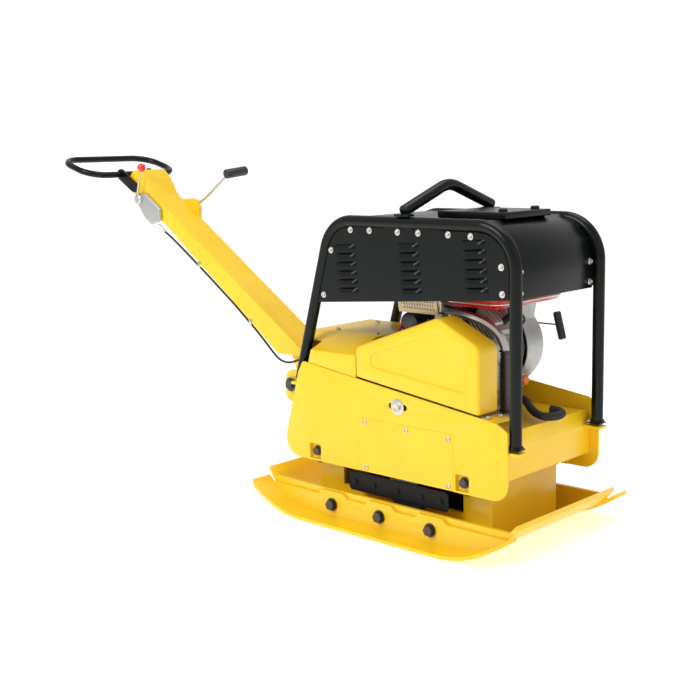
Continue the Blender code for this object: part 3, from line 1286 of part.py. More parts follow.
def main():
    clear_scene()
    base = body("base")
    make_base_plate(base)
    for side, side_name in ((-1, "near"), (1, "far")):
        make_extension(f"extension_{side_name}", side, base)
        for index, step in enumerate((-1, 0, 1)):
            make_extension_bolt(f"extension_bolt_{side_name}_{index + 1}", step * BOLT_PITCH, side, base)
    make_isolators(base)
    make_exciter_housing(base)
    make_exciter_cover(base)

    drive = body("exciter_drive", (shaft_x(1), 0.0, EXCITER_HEIGHT))
    # A tooth of one gear points at a space of the other.
    make_shaft("exciter_drive_shaft", 1, PULLEY_Y - PULLEY_WIDTH / 2 - 0.002, math.pi + math.pi / GEAR_TEETH, drive)
    place = (shaft_x(1), PULLEY_Y, EXCITER_HEIGHT)
    make_pulley("exciter_pulley", place, EXCITER_PULLEY_RADIUS, SHAFT_RADIUS, "dark_steel", drive)
    driven = body("exciter_driven", (shaft_x(-1), 0.0, EXCITER_HEIGHT))
    make_shaft("exciter_driven_shaft", -1, 0.002 - HOUSING_HALF_WIDTH, 0.0, driven)

    frame = body("frame")
    make_side_plate("side_plate_near", -1, frame)
    make_side_plate("side_plate_far", 1, frame)
    make_lower_belt_guard(frame)
    make_front_panel(frame)
    make_rear_panel(frame)
    make_pole_bracket(frame)
    make_pivot_pin(frame)
    make_deck(frame)
    make_belt(frame)
    make_belt_cover(frame)
    make_rear_cover(frame)
    make_battery(frame)
    for side, side_name in ((-1, "near"), (1, "far")):
        make_hoop(f"hoop_{side_name}", side, frame)
        make_hood_side(f"hood_side_{side_name}", side, frame)
    make_roof(frame)
    make_lifting_bar(frame)
    make_crankcase(frame)
    make_cylinder(frame)
    make_fan_cover(frame)
    make_recoil_cover(frame)
    make_tank(frame)
    make_air_cleaner(frame)
    make_muffler(frame)
    make_electric_starter(frame)
    make_drain_hose(frame)

    crank = body("crank", (CRANK_X, 0.0, CRANK_Z))
    make_crankshaft(crank)
    make_pulley("clutch_drum", (CRANK_X, PULLEY_Y, CRANK_Z), DRUM_RADIUS, CRANK_RADIUS, "steel", crank)
    make_recoil_grip(body("recoil"))
    make_hatch(body("hatch", (HATCH_CENTRE_X - HATCH_LENGTH / 2, HATCH_Y, ROOF_TOP + GAP)))
    make_fuel_cap(body("fuel_cap", (HATCH_CENTRE_X, HATCH_Y, TANK_HIGH[2])))
    make_oil_cap(body("oil_cap", OIL_CAP))

    pole = body("pole", PIVOT)
    make_pole(pole)
    make_throttle_box(pole)
    make_cables(pole, frame)
    make_control_handle(body("control_handle", HANDLE_AXIS))
    throttle = body("throttle", THROTTLE_PIVOT)
    make_throttle_lever(throttle)
    make_throttle_knob(throttle)
    make_lock_lever(body("lock_lever", LOCK_PIVOT))


main()
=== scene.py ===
"""Looks of the reversible plate compactor: finishes, fasteners, louvres, engine trim, leads, light and camera."""

from __future__ import annotations

import logging
import math
from collections.abc import Callable, Iterable, Sequence
from dataclasses import dataclass, field
from enum import Enum

import bmesh
import bpy
from mathutils import Matrix, Vector

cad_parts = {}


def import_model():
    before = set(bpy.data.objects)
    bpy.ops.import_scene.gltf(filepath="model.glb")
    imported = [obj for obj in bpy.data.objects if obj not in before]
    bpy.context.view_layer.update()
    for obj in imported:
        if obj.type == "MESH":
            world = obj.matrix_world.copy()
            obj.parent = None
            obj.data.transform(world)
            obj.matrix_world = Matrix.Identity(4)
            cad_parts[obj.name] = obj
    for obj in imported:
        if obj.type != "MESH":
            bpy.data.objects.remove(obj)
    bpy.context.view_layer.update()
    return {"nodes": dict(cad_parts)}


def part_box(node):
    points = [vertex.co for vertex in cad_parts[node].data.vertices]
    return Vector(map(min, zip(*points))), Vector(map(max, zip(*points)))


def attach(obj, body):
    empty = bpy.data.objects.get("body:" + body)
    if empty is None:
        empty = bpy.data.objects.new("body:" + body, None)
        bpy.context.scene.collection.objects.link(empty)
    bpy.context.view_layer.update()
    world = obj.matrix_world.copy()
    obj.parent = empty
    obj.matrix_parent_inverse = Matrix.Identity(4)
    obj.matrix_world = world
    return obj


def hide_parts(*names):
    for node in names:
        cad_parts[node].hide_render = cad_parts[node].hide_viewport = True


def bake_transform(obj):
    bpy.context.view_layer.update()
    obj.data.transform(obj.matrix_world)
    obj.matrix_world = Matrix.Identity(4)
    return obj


LOG = logging.getLogger("plate_compactor")
UP = Vector((0.0, 0.0, 1.0))
Point = Sequence[float]


class Side(Enum):
    """The machine's two sides: the belt side and the recoil starter side."""

    NEAR = -1
    FAR = 1

    @property
    def label(self) -> str:
        """The word that ends a piece's name."""
        return self.name.lower()


class Pattern(Enum):
    """How a finish varies over its surface."""

    ORANGE_PEEL = "orange_peel"
    CAST_SKIN = "cast_skin"
    BRUSHED = "brushed"
    MOULDED = "moulded"


# ---------------------------------------------------------------- shader groups


def new_group(name: str, inputs: Iterable[tuple], outputs: Iterable[tuple]) -> bpy.types.NodeTree:
    """Makes an empty shader node group.

    Args:
        name: the group's name.
        inputs: (socket name, socket type, default value or None) for each input.
        outputs: (socket name, socket type) for each output.

    Returns:
        The group, with its input and output nodes in place.
    """
    tree = bpy.data.node_groups.new(name, "ShaderNodeTree")
    for label, kind, default in inputs:
        socket = tree.interface.new_socket(name=label, in_out="INPUT", socket_type=kind)
        if default is not None:
            socket.default_value = default
    for label, kind in outputs:
        tree.interface.new_socket(name=label, in_out="OUTPUT", socket_type=kind)
    tree.nodes.new("NodeGroupInput").name = "In"
    tree.nodes.new("NodeGroupOutput").name = "Out"
    return tree


def noise(tree: bpy.types.NodeTree, scale: float, detail: float = 3.0, stretch: Point = (1.0, 1.0, 1.0)):
    """Adds a noise texture on object coordinates.

    Args:
        tree: the node tree it goes in.
        scale: the pattern's scale, in waves per metre.
        detail: how many finer layers it has.
        stretch: how much finer the pattern is along each axis.

    Returns:
        The noise node.
    """
    place = tree.nodes.new("ShaderNodeTexCoord")
    mapping = tree.nodes.new("ShaderNodeMapping")
    mapping.inputs["Scale"].default_value = stretch
    texture = tree.nodes.new("ShaderNodeTexNoise")
    texture.inputs["Scale"].default_value = scale
    texture.inputs["Detail"].default_value = detail
    tree.links.new(place.outputs["Object"], mapping.inputs["Vector"])
    tree.links.new(mapping.outputs["Vector"], texture.inputs["Vector"])
    return texture


def map_range(tree: bpy.types.NodeTree, source, low: float, high: float, to_low: float, to_high: float):
    """Maps a value from one range to another, clamped.

    Args:
        tree: the node tree it goes in.
        source: the output socket to read.
        low: the value that gives to_low.
        high: the value that gives to_high.
        to_low: the first result.
        to_high: the last result.

    Returns:
        The result's socket.
    """
    node = tree.nodes.new("ShaderNodeMapRange")
    for label, value in (("From Min", low), ("From Max", high), ("To Min", to_low), ("To Max", to_high)):
        node.inputs[label].default_value = value
    tree.links.new(source, node.inputs["Value"])
    return node.outputs["Result"]


def math_node(tree: bpy.types.NodeTree, operation: str, first, second):
    """Adds a Math node on two sockets or numbers and returns its output socket."""
    node = tree.nodes.new("ShaderNodeMath")
    node.operation = operation
    for index, value in enumerate((first, second)):
        if isinstance(value, (int, float)):
            node.inputs[index].default_value = value
        else:
            tree.links.new(value, node.inputs[index])
    return node.outputs["Value"]


def mix_colour(tree: bpy.types.NodeTree, factor, first, second):
    """Adds a colour Mix node on three sockets and returns its output socket."""
    node = tree.nodes.new("ShaderNodeMix")
    node.data_type = "RGBA"
    for index, value in ((0, factor), (6, first), (7, second)):
        if hasattr(value, "is_output"):
            tree.links.new(value, node.inputs[index])
        else:
            node.inputs[index].default_value = value
    return node.outputs[2]


def mottle_group() -> bpy.types.NodeTree:
    """Slow colour and gloss variation, as on any sprayed, cast or moulded surface.

    Returns:
        The group, with Colour and Roughness outputs.
    """
    tree = new_group(
        "Mottle",
        [("Colour", "NodeSocketColor", (0.5, 0.5, 0.5, 1)), ("Shade", "NodeSocketColor", (0.4, 0.4, 0.4, 1)),
         ("Roughness", "NodeSocketFloat", 0.4), ("Spread", "NodeSocketFloat", 0.1)],
        [("Colour", "NodeSocketColor"), ("Roughness", "NodeSocketFloat")],
    )
    inside, out = tree.nodes["In"], tree.nodes["Out"]
    slow, fine = noise(tree, 7.0, 4.0), noise(tree, 60.0, 5.0)
    factor = map_range(tree, slow.outputs["Fac"], 0.38, 0.72, 0.0, 1.0)
    tree.links.new(mix_colour(tree, factor, inside.outputs["Colour"], inside.outputs["Shade"]), out.inputs["Colour"])
    swing = map_range(tree, fine.outputs["Fac"], 0.3, 0.7, -1.0, 1.0)
    change = math_node(tree, "MULTIPLY", swing, inside.outputs["Spread"])
    tree.links.new(math_node(tree, "ADD", change, inside.outputs["Roughness"]), out.inputs["Roughness"])
    return tree


def dust_group() -> bpy.types.NodeTree:
    """Fine dust that settles on what faces up.

    Returns:
        The group, with Colour and Roughness outputs.
    """
    tree = new_group(
        "SettledDust",
        [("Colour", "NodeSocketColor", (0.5, 0.5, 0.5, 1)), ("Roughness", "NodeSocketFloat", 0.4),
         ("Amount", "NodeSocketFloat", 0.1)],
        [("Colour", "NodeSocketColor"), ("Roughness", "NodeSocketFloat")],
    )
    inside, out = tree.nodes["In"], tree.nodes["Out"]
    geometry = tree.nodes.new("ShaderNodeNewGeometry")
    split = tree.nodes.new("ShaderNodeSeparateXYZ")
    tree.links.new(geometry.outputs["Normal"], split.inputs["Vector"])
    facing = map_range(tree, split.outputs["Z"], 0.45, 1.0, 0.0, 1.0)
    patch = map_range(tree, noise(tree, 22.0, 6.0).outputs["Fac"], 0.42, 0.75, 0.25, 1.0)
    mask = math_node(tree, "MULTIPLY", math_node(tree, "MULTIPLY", facing, patch), inside.outputs["Amount"])
    dusty = mix_colour(tree, mask, inside.outputs["Colour"], (0.55, 0.50, 0.42, 1.0))
    tree.links.new(dusty, out.inputs["Colour"])
    rough = math_node(tree, "ADD", inside.outputs["Roughness"], math_node(tree, "MULTIPLY", mask, 0.5))
    tree.links.new(rough, out.inputs["Roughness"])
    return tree


def relief_group() -> bpy.types.NodeTree:
    """Fine relief: a height from one noise, coarse or fine, plain or drawn out along X.

    Returns:
        The group, with a Height output.
    """
    tree = new_group(
        "FineRelief",
        [("Peel", "NodeSocketFloat", 0.0), ("Skin", "NodeSocketFloat", 0.0), ("Strokes", "NodeSocketFloat", 0.0)],
        [("Height", "NodeSocketFloat")],
    )
    inside, out = tree.nodes["In"], tree.nodes["Out"]
    peel = math_node(tree, "MULTIPLY", noise(tree, 260.0, 1.0).outputs["Fac"], inside.outputs["Peel"])
    skin = math_node(tree, "MULTIPLY", noise(tree, 520.0, 6.0).outputs["Fac"], inside.outputs["Skin"])
    drawn = noise(tree, 900.0, 2.0, (0.03, 1.0, 1.0))
    strokes = math_node(tree, "MULTIPLY", drawn.outputs["Fac"], inside.outputs["Strokes"])
    tree.links.new(math_node(tree, "ADD", math_node(tree, "ADD", peel, skin), strokes), out.inputs["Height"])
    return tree


# ---------------------------------------------------------------- finishes


@dataclass(frozen=True)
class Finish:
    """One finish of the machine, with its values for the shared groups."""

    name: str
    colour: tuple[float, float, float]
    roughness: float
    pattern: Pattern
    metallic: float = 0.0
    coat: float = 0.0
    shade: float = 0.93
    spread: float = 0.05
    dust: float = 0.05
    relief: float = 0.05
    edge: float = 0.0012
    gloss: float = 0.5

    def build(self) -> bpy.types.Material:
        """Makes the finish's material.

        Returns:
            The material, or the one already made under this name.
        """
        found = bpy.data.materials.get(self.name)
        if found:
            return found
        made = bpy.data.materials.new(self.name)
        made.use_nodes = True
        tree = made.node_tree
        shader = tree.nodes["Principled BSDF"]
        shader.inputs["Metallic"].default_value = self.metallic
        shader.inputs["Coat Weight"].default_value = self.coat
        shader.inputs["Coat Roughness"].default_value = 0.08
        shader.inputs["Specular IOR Level"].default_value = self.gloss
        colour, rough = self.mottled(tree)
        tree.links.new(colour, shader.inputs["Base Color"])
        tree.links.new(rough, shader.inputs["Roughness"])
        tree.links.new(self.relief_normal(tree), shader.inputs["Normal"])
        return made

    def mottled(self, tree: bpy.types.NodeTree) -> tuple:
        """Places the mottle and dust groups and returns their colour and roughness sockets."""
        mottle = place_group(tree, "Mottle")
        mottle.inputs["Colour"].default_value = (*self.colour, 1.0)
        mottle.inputs["Shade"].default_value = (*[part * self.shade for part in self.colour], 1.0)
        mottle.inputs["Roughness"].default_value = self.roughness
        mottle.inputs["Spread"].default_value = self.spread
        dust = place_group(tree, "SettledDust")
        dust.inputs["Amount"].default_value = self.dust
        tree.links.new(mottle.outputs["Colour"], dust.inputs["Colour"])
        tree.links.new(mottle.outputs["Roughness"], dust.inputs["Roughness"])
        return dust.outputs["Colour"], dust.outputs["Roughness"]

    def relief_normal(self, tree: bpy.types.NodeTree):
        """Places softened edges and the relief group, and returns the normal socket."""
        relief = place_group(tree, "FineRelief")
        for pattern, label in (
            (Pattern.ORANGE_PEEL, "Peel"), (Pattern.CAST_SKIN, "Skin"), (Pattern.BRUSHED, "Strokes"),
            (Pattern.MOULDED, "Skin"),
        ):
            if pattern is self.pattern:
                relief.inputs[label].default_value = 1.0
        soft = tree.nodes.new("ShaderNodeBevel")
        soft.samples = 4
        soft.inputs["Radius"].default_value = self.edge
        bump = tree.nodes.new("ShaderNodeBump")
        bump.inputs["Strength"].default_value = self.relief
        bump.inputs["Distance"].default_value = 0.001
        tree.links.new(relief.outputs["Height"], bump.inputs["Height"])
        tree.links.new(soft.outputs["Normal"], bump.inputs["Normal"])
        return bump.outputs["Normal"]


def place_group(tree: bpy.types.NodeTree, name: str) -> bpy.types.Node:
    """Puts a shared node group into a material and returns its node."""
    node = tree.nodes.new("ShaderNodeGroup")
    node.node_tree = bpy.data.node_groups[name]
    return node


YELLOW = Finish("yellow_enamel", (0.93, 0.585, 0.012), 0.32, Pattern.ORANGE_PEEL, coat=0.10, dust=0.0, relief=0.10,
                gloss=0.40)
BLACK = Finish("black_enamel", (0.0030, 0.0052, 0.0036), 0.22, Pattern.ORANGE_PEEL, relief=0.10, dust=0.0, gloss=0.22)
BLACK_IRON = Finish("black_iron", (0.012, 0.012, 0.012), 0.5, Pattern.CAST_SKIN, relief=0.5, dust=0.15)
DARK_STEEL = Finish("black_steel", (0.09, 0.09, 0.09), 0.42, Pattern.BRUSHED, 0.9, relief=0.15, edge=0.0006)
ZINC = Finish("zinc_plate", (0.62, 0.60, 0.54), 0.34, Pattern.BRUSHED, 1.0, relief=0.12, edge=0.0006)
ALUMINIUM = Finish("cast_alloy", (0.50, 0.50, 0.48), 0.46, Pattern.CAST_SKIN, 0.75, relief=0.55, shade=0.85)
RUBBER = Finish("black_rubber", (0.016, 0.016, 0.016), 0.72, Pattern.MOULDED, relief=0.25, dust=0.10)
PLASTIC = Finish("black_moulding", (0.014, 0.014, 0.015), 0.42, Pattern.MOULDED, relief=0.30, spread=0.08)
TANK_RED = Finish("red_enamel", (0.50, 0.002, 0.002), 0.26, Pattern.ORANGE_PEEL, coat=0.2, relief=0.08, gloss=0.35)
KNOB_RED = Finish("red_moulding", (0.75, 0.012, 0.012), 0.22, Pattern.MOULDED, coat=0.4, relief=0.05)
ORANGE = Finish("orange_moulding", (0.85, 0.20, 0.01), 0.42, Pattern.MOULDED, relief=0.15)
SHIELD = Finish("gold_shield", (0.55, 0.44, 0.26), 0.38, Pattern.BRUSHED, 0.65, relief=0.25, edge=0.0006)
LEAD_RED = Finish("red_lead", (0.62, 0.02, 0.015), 0.4, Pattern.MOULDED, relief=0.1, edge=0.0004)

NODE_FINISH: dict[Finish, tuple[str, ...]] = {
    YELLOW: ("base_plate", "extension_near", "extension_far", "side_plate_near", "side_plate_far", "lower_belt_guard",
             "front_panel", "rear_panel", "pole_bracket", "engine_deck", "belt_cover", "rear_cover", "pole_beam"),
    BLACK: ("hoop_near", "hoop_far", "hood_side_near", "hood_side_far", "hood_roof", "lifting_bar", "roof_hatch",
            "control_handle"),
    BLACK_IRON: ("exciter_housing",),
    DARK_STEEL: ("pivot_pin", "exciter_pulley", "electric_starter",
                 *[f"extension_bolt_{side.label}_{place}" for side in Side for place in (1, 2, 3)]),
    ZINC: ("exciter_drive_shaft", "exciter_driven_shaft", "clutch_drum", "crankshaft", "muffler", "throttle_lever"),
    ALUMINIUM: ("exciter_cover", "crankcase", "cylinder", "fan_cover", "recoil_cover", "throttle_box"),
    RUBBER: ("isolator_front_near", "isolator_front_far", "isolator_rear_near", "isolator_rear_far", "v_belt",
             "drain_hose", "throttle_cable", "throttle_cable_loop"),
    PLASTIC: ("battery", "air_cleaner", "recoil_grip", "fuel_cap", "lock_lever"),
    TANK_RED: ("fuel_tank",),
    KNOB_RED: ("throttle_knob",),
    ORANGE: ("oil_cap",),
}


# ---------------------------------------------------------------- modelling


def deselect() -> None:
    """Leaves nothing selected."""
    bpy.ops.object.select_all(action="DESELECT")


def settle(piece: bpy.types.Object) -> bpy.types.Object:
    """Puts a piece's place, turn and scale into its mesh."""
    deselect()
    piece.select_set(True)
    bpy.context.view_layer.objects.active = piece
    bpy.ops.object.transform_apply(location=True, rotation=True, scale=True)
    return piece


def apply_modifier(piece: bpy.types.Object, kind: str, **values) -> None:
    """Adds a modifier with its values and applies it.

    Args:
        piece: the piece it shapes.
        kind: the modifier's type.
        **values: what the modifier is set to.
    """
    modifier = piece.modifiers.new(kind.title(), kind)
    for label, value in values.items():
        setattr(modifier, label, value)
    deselect()
    piece.select_set(True)
    bpy.context.view_layer.objects.active = piece
    bpy.ops.object.modifier_apply(modifier=modifier.name)


def edit_faces(piece: bpy.types.Object, pick: Callable[[Vector, Vector], bool], *steps: Callable[[], object]) -> None:
    """Selects faces in edit mode and runs operators on them.

    Args:
        piece: the piece to edit.
        pick: says from a face's centre and normal whether it is wanted.
        *steps: operator calls, in order.
    """
    deselect()
    piece.select_set(True)
    bpy.context.view_layer.objects.active = piece
    bpy.ops.object.mode_set(mode="EDIT")
    bpy.ops.mesh.select_mode(type="FACE")
    bpy.ops.mesh.select_all(action="DESELECT")
    mesh = bmesh.from_edit_mesh(piece.data)
    for face in mesh.faces:
        face.select_set(pick(face.calc_center_median(), face.normal))
    bmesh.update_edit_mesh(piece.data)
    for step in steps:
        step()
    bpy.ops.object.mode_set(mode="OBJECT")


def join(name: str, pieces: Sequence[bpy.types.Object]) -> bpy.types.Object:
    """Joins pieces into one object and names it."""
    deselect()
    for piece in pieces:
        piece.select_set(True)
    bpy.context.view_layer.objects.active = pieces[0]
    if len(pieces) > 1:
        bpy.ops.object.join()
    pieces[0].name = name
    return settle(pieces[0])


def dress(piece: bpy.types.Object, finish: Finish, body: str, angle: float = 35.0) -> bpy.types.Object:
    """Gives a piece its finish and smooth shading, and lets it ride on a body.

    Args:
        piece: the piece.
        finish: what it is covered in.
        body: the CAD body that it moves with.
        angle: edges sharper than this, in degrees, stay sharp.

    Returns:
        The same piece.
    """
    piece.data.materials.clear()
    piece.data.materials.append(finish.build())
    deselect()
    piece.select_set(True)
    bpy.context.view_layer.objects.active = piece
    if piece.type == "MESH":
        bpy.ops.object.shade_smooth_by_angle(angle=math.radians(angle))
    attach(piece, body)
    LOG.info("made %s", piece.name)
    return piece


def turn_to(axis: Point) -> Matrix:
    """The turn that takes +Z to an axis."""
    return UP.rotation_difference(Vector(axis)).to_matrix().to_4x4()


def copies(name: str, template: bpy.types.Object, places: Iterable[Matrix]) -> bpy.types.Object:
    """Copies a template to each place, each with its own mesh, and joins the copies.

    Args:
        name: the joined piece's name.
        template: what is copied.
        places: where each copy goes.

    Returns:
        The joined piece.
    """
    made = []
    for place in places:
        mesh = template.data.copy()
        mesh.transform(place)
        copy = bpy.data.objects.new(name, mesh)
        bpy.context.collection.objects.link(copy)
        made.append(copy)
    return join(name, made)


def cylinder(name: str, radius: float, depth: float, sides: int = 24, low: float = 0.0) -> bpy.types.Object:
    """A disc or bar that stands on z = low, ready to shape."""
    deselect()
    bpy.ops.mesh.primitive_cylinder_add(vertices=sides, radius=radius, depth=depth, location=(0, 0, low + depth / 2))
    made = bpy.context.object
    made.name = name
    return settle(made)


def block(name: str, low: Point, high: Point, bevel: float, segments: int = 3) -> bpy.types.Object:
    """A block between two corners, with its edges rounded."""
    middle, size = (Vector(low) + Vector(high)) / 2, Vector(high) - Vector(low)
    deselect()
    bpy.ops.mesh.primitive_cube_add(size=1.0, location=middle)
    made = bpy.context.object
    made.name = name
    made.scale = size
    settle(made)
    apply_modifier(made, "BEVEL", width=bevel, segments=segments)
    return made


def smooth_route(points: Sequence[Point], steps: int = 8) -> list[Vector]:
    """Points on a Catmull-Rom curve through a route's own points."""
    places = [Vector(point) for point in points]
    padded = [2 * places[0] - places[1], *places, 2 * places[-1] - places[-2]]
    found = []
    for a, b, c, d in zip(padded, padded[1:], padded[2:], padded[3:]):
        for step in range(steps):
            t = step / steps
            found.append(
                0.5 * (2 * b + (c - a) * t + (2 * a - 5 * b + 4 * c - d) * t * t + (3 * b - a - 3 * c + d) * t**3)
            )
    return [*found, places[-1]]


def tube(name: str, points: Sequence[Point], radius: float, sides: int = 4, closed: bool = False) -> bpy.types.Object:
    """A round tube along points, made a mesh.

    Args:
        name: the tube's name.
        points: the middle line.
        radius: the tube's outer radius.
        sides: the curve's bevel resolution.
        closed: whether the line is a ring.

    Returns:
        The tube's mesh object.
    """
    curve = bpy.data.curves.new(name, "CURVE")
    curve.dimensions = "3D"
    curve.bevel_depth = radius
    curve.bevel_resolution = sides
    curve.use_fill_caps = True
    spline = curve.splines.new("POLY")
    spline.points.add(len(points) - 1)
    for point, place in zip(spline.points, points):
        point.co = (*place, 1.0)
    spline.use_cyclic_u = closed
    made = bpy.data.objects.new(name, curve)
    bpy.context.collection.objects.link(made)
    deselect()
    made.select_set(True)
    bpy.context.view_layer.objects.active = made
    bpy.ops.object.convert(target="MESH")
    return bpy.context.object


def smooth_copy(node: str, name: str, rim: float, angle: float) -> bpy.types.Object:
    """Copies a CAD node, merges its loose triangles into flat faces and rounds its rims.

    Args:
        node: the CAD node's name.
        name: the new piece's name.
        rim: the rims' radius, 0 for none.
        angle: edges sharper than this, in degrees, are rounded.

    Returns:
        The new piece.
    """
    made = bpy.data.objects.new(name, bpy.data.objects[node].data.copy())
    bpy.context.collection.objects.link(made)
    apply_modifier(made, "WELD", merge_threshold=0.00002)
    edit_faces(made, lambda centre, normal: True,
               lambda: bpy.ops.mesh.dissolve_limited(angle_limit=math.radians(0.8)))
    if rim > 0:
        apply_modifier(made, "BEVEL", width=rim, segments=3, limit_method="ANGLE", angle_limit=math.radians(angle),
                       use_clamp_overlap=True, harden_normals=False)
    return made


def rounded(corners: Sequence[Point], radii: Sequence[float], steps: int = 10) -> list[tuple[float, float]]:
    """Rounds an outline's corners, or the bends of an open line.

    Args:
        corners: the outline's corners, in order.
        radii: one radius for each corner, 0 for a sharp one.
        steps: how many chords each round has.

    Returns:
        The outline's points.
    """
    found: list[tuple[float, float]] = []
    for index, (corner, radius) in enumerate(zip(corners, radii)):
        here = Vector(corner)
        if radius <= 0:
            found.append(tuple(here))
            continue
        before = (Vector(corners[index - 1]) - here).normalized()
        after = (Vector(corners[(index + 1) % len(corners)]) - here).normalized()
        half = before.angle(after) / 2
        start, end = here + before * radius / math.tan(half), here + after * radius / math.tan(half)
        middle = here + (before + after).normalized() * radius / math.sin(half)
        sweep = math.pi - 2 * half
        first, turn = start - middle, 1 if (start - middle).cross(end - middle) > 0 else -1
        for step in range(steps + 1):
            angle = turn * sweep * step / steps
            point = Vector((first.x * math.cos(angle) - first.y * math.sin(angle),
                            first.x * math.sin(angle) + first.y * math.cos(angle)))
            found.append(tuple(middle + point))
    return found


def slab(name: str, outline: Sequence[Point], low: float, high: float, bevel: float = 0.0, segments: int = 3,
         flat: str = "Y") -> bpy.types.Object:
    """A plate with a given outline, extruded across and with its rims rounded.

    Args:
        name: the piece's name.
        outline: its outline, as (x, z) for flat "Y" and (x, y) for flat "Z".
        low: where the plate starts across.
        high: where it ends.
        bevel: the rims' radius.
        segments: how many steps the rims are rounded in.
        flat: the axis that it is flat across.

    Returns:
        The plate.
    """
    deselect()
    bpy.ops.mesh.primitive_circle_add(vertices=len(outline), radius=1.0, fill_type="NGON")
    made = bpy.context.object
    made.name = name
    for vertex, (first, second) in zip(made.data.vertices, outline):
        vertex.co = (first, low, second) if flat == "Y" else (first, second, low)
    across = (0, high - low, 0) if flat == "Y" else (0, 0, high - low)
    edit_faces(
        made,
        lambda centre, normal: True,
        lambda: bpy.ops.mesh.extrude_region_move(TRANSFORM_OT_translate={"value": across}),
        lambda: bpy.ops.mesh.select_all(action="SELECT"),
        lambda: bpy.ops.mesh.normals_make_consistent(inside=False),
    )
    if bevel > 0:
        apply_modifier(made, "BEVEL", width=bevel, segments=segments, limit_method="ANGLE",
                       angle_limit=math.radians(50))
    return made


# ---------------------------------------------------------------- fasteners


@dataclass
class Fasteners:
    """Hexagon bolts with washers and domed screws, modelled once in each size and copied."""

    templates: dict[str, bpy.types.Object] = field(default_factory=dict)

    def hexagon(self, radius: float, washer: float, height: float) -> bpy.types.Object:
        """A chamfered hexagon head on a washer, standing on z = 0."""
        key = f"hexagon_{radius:.4f}_{washer:.4f}"
        if key not in self.templates:
            disc = cylinder("washer", washer, 0.0015)
            apply_modifier(disc, "BEVEL", width=0.0004, segments=2)
            head = cylinder("head", radius, height, 6, 0.0015)
            edit_faces(
                head,
                lambda centre, normal: normal.z > 0.9,
                lambda: bpy.ops.mesh.inset(thickness=radius * 0.16),
                lambda: bpy.ops.transform.translate(value=(0, 0, height * 0.12)),
                lambda: bpy.ops.mesh.inset(thickness=radius * 0.22),
                lambda: bpy.ops.transform.translate(value=(0, 0, -height * 0.12)),
            )
            self.keep(key, join(key, [head, disc]))
        return self.templates[key]

    def domed(self, radius: float) -> bpy.types.Object:
        """A low domed screw head with a hexagon socket."""
        key = f"domed_{radius:.4f}"
        if key not in self.templates:
            head = cylinder("dome", radius, radius * 0.35, 18)
            edit_faces(
                head,
                lambda centre, normal: normal.z > 0.9,
                lambda: bpy.ops.mesh.inset(thickness=radius * 0.25),
                lambda: bpy.ops.transform.translate(value=(0, 0, radius * 0.20)),
                lambda: bpy.ops.mesh.inset(thickness=radius * 0.30),
                lambda: bpy.ops.transform.translate(value=(0, 0, radius * 0.06)),
                lambda: bpy.ops.mesh.extrude_region_move(TRANSFORM_OT_translate={"value": (0, 0, -radius * 0.3)}),
            )
            self.keep(key, head)
        return self.templates[key]

    def keep(self, key: str, template: bpy.types.Object) -> None:
        """Keeps a template's mesh for copying, without leaving the template in the scene."""
        held = bpy.data.objects.new(key, template.data.copy())
        bpy.data.objects.remove(template, do_unlink=True)
        self.templates[key] = held

    def discard(self) -> None:
        """Removes the templates once every copy is made."""
        for template in self.templates.values():
            bpy.data.objects.remove(template, do_unlink=True)


def on_side(side: Side, y: float, places: Iterable[tuple[float, float]]) -> list[Matrix]:
    """Places on an upright face that looks out to one side, from (x, z) pairs."""
    turn = turn_to((0, side.value, 0))
    return [Matrix.Translation((x, side.value * y, z)) @ turn for x, z in places]


# ---------------------------------------------------------------- sub-assemblies


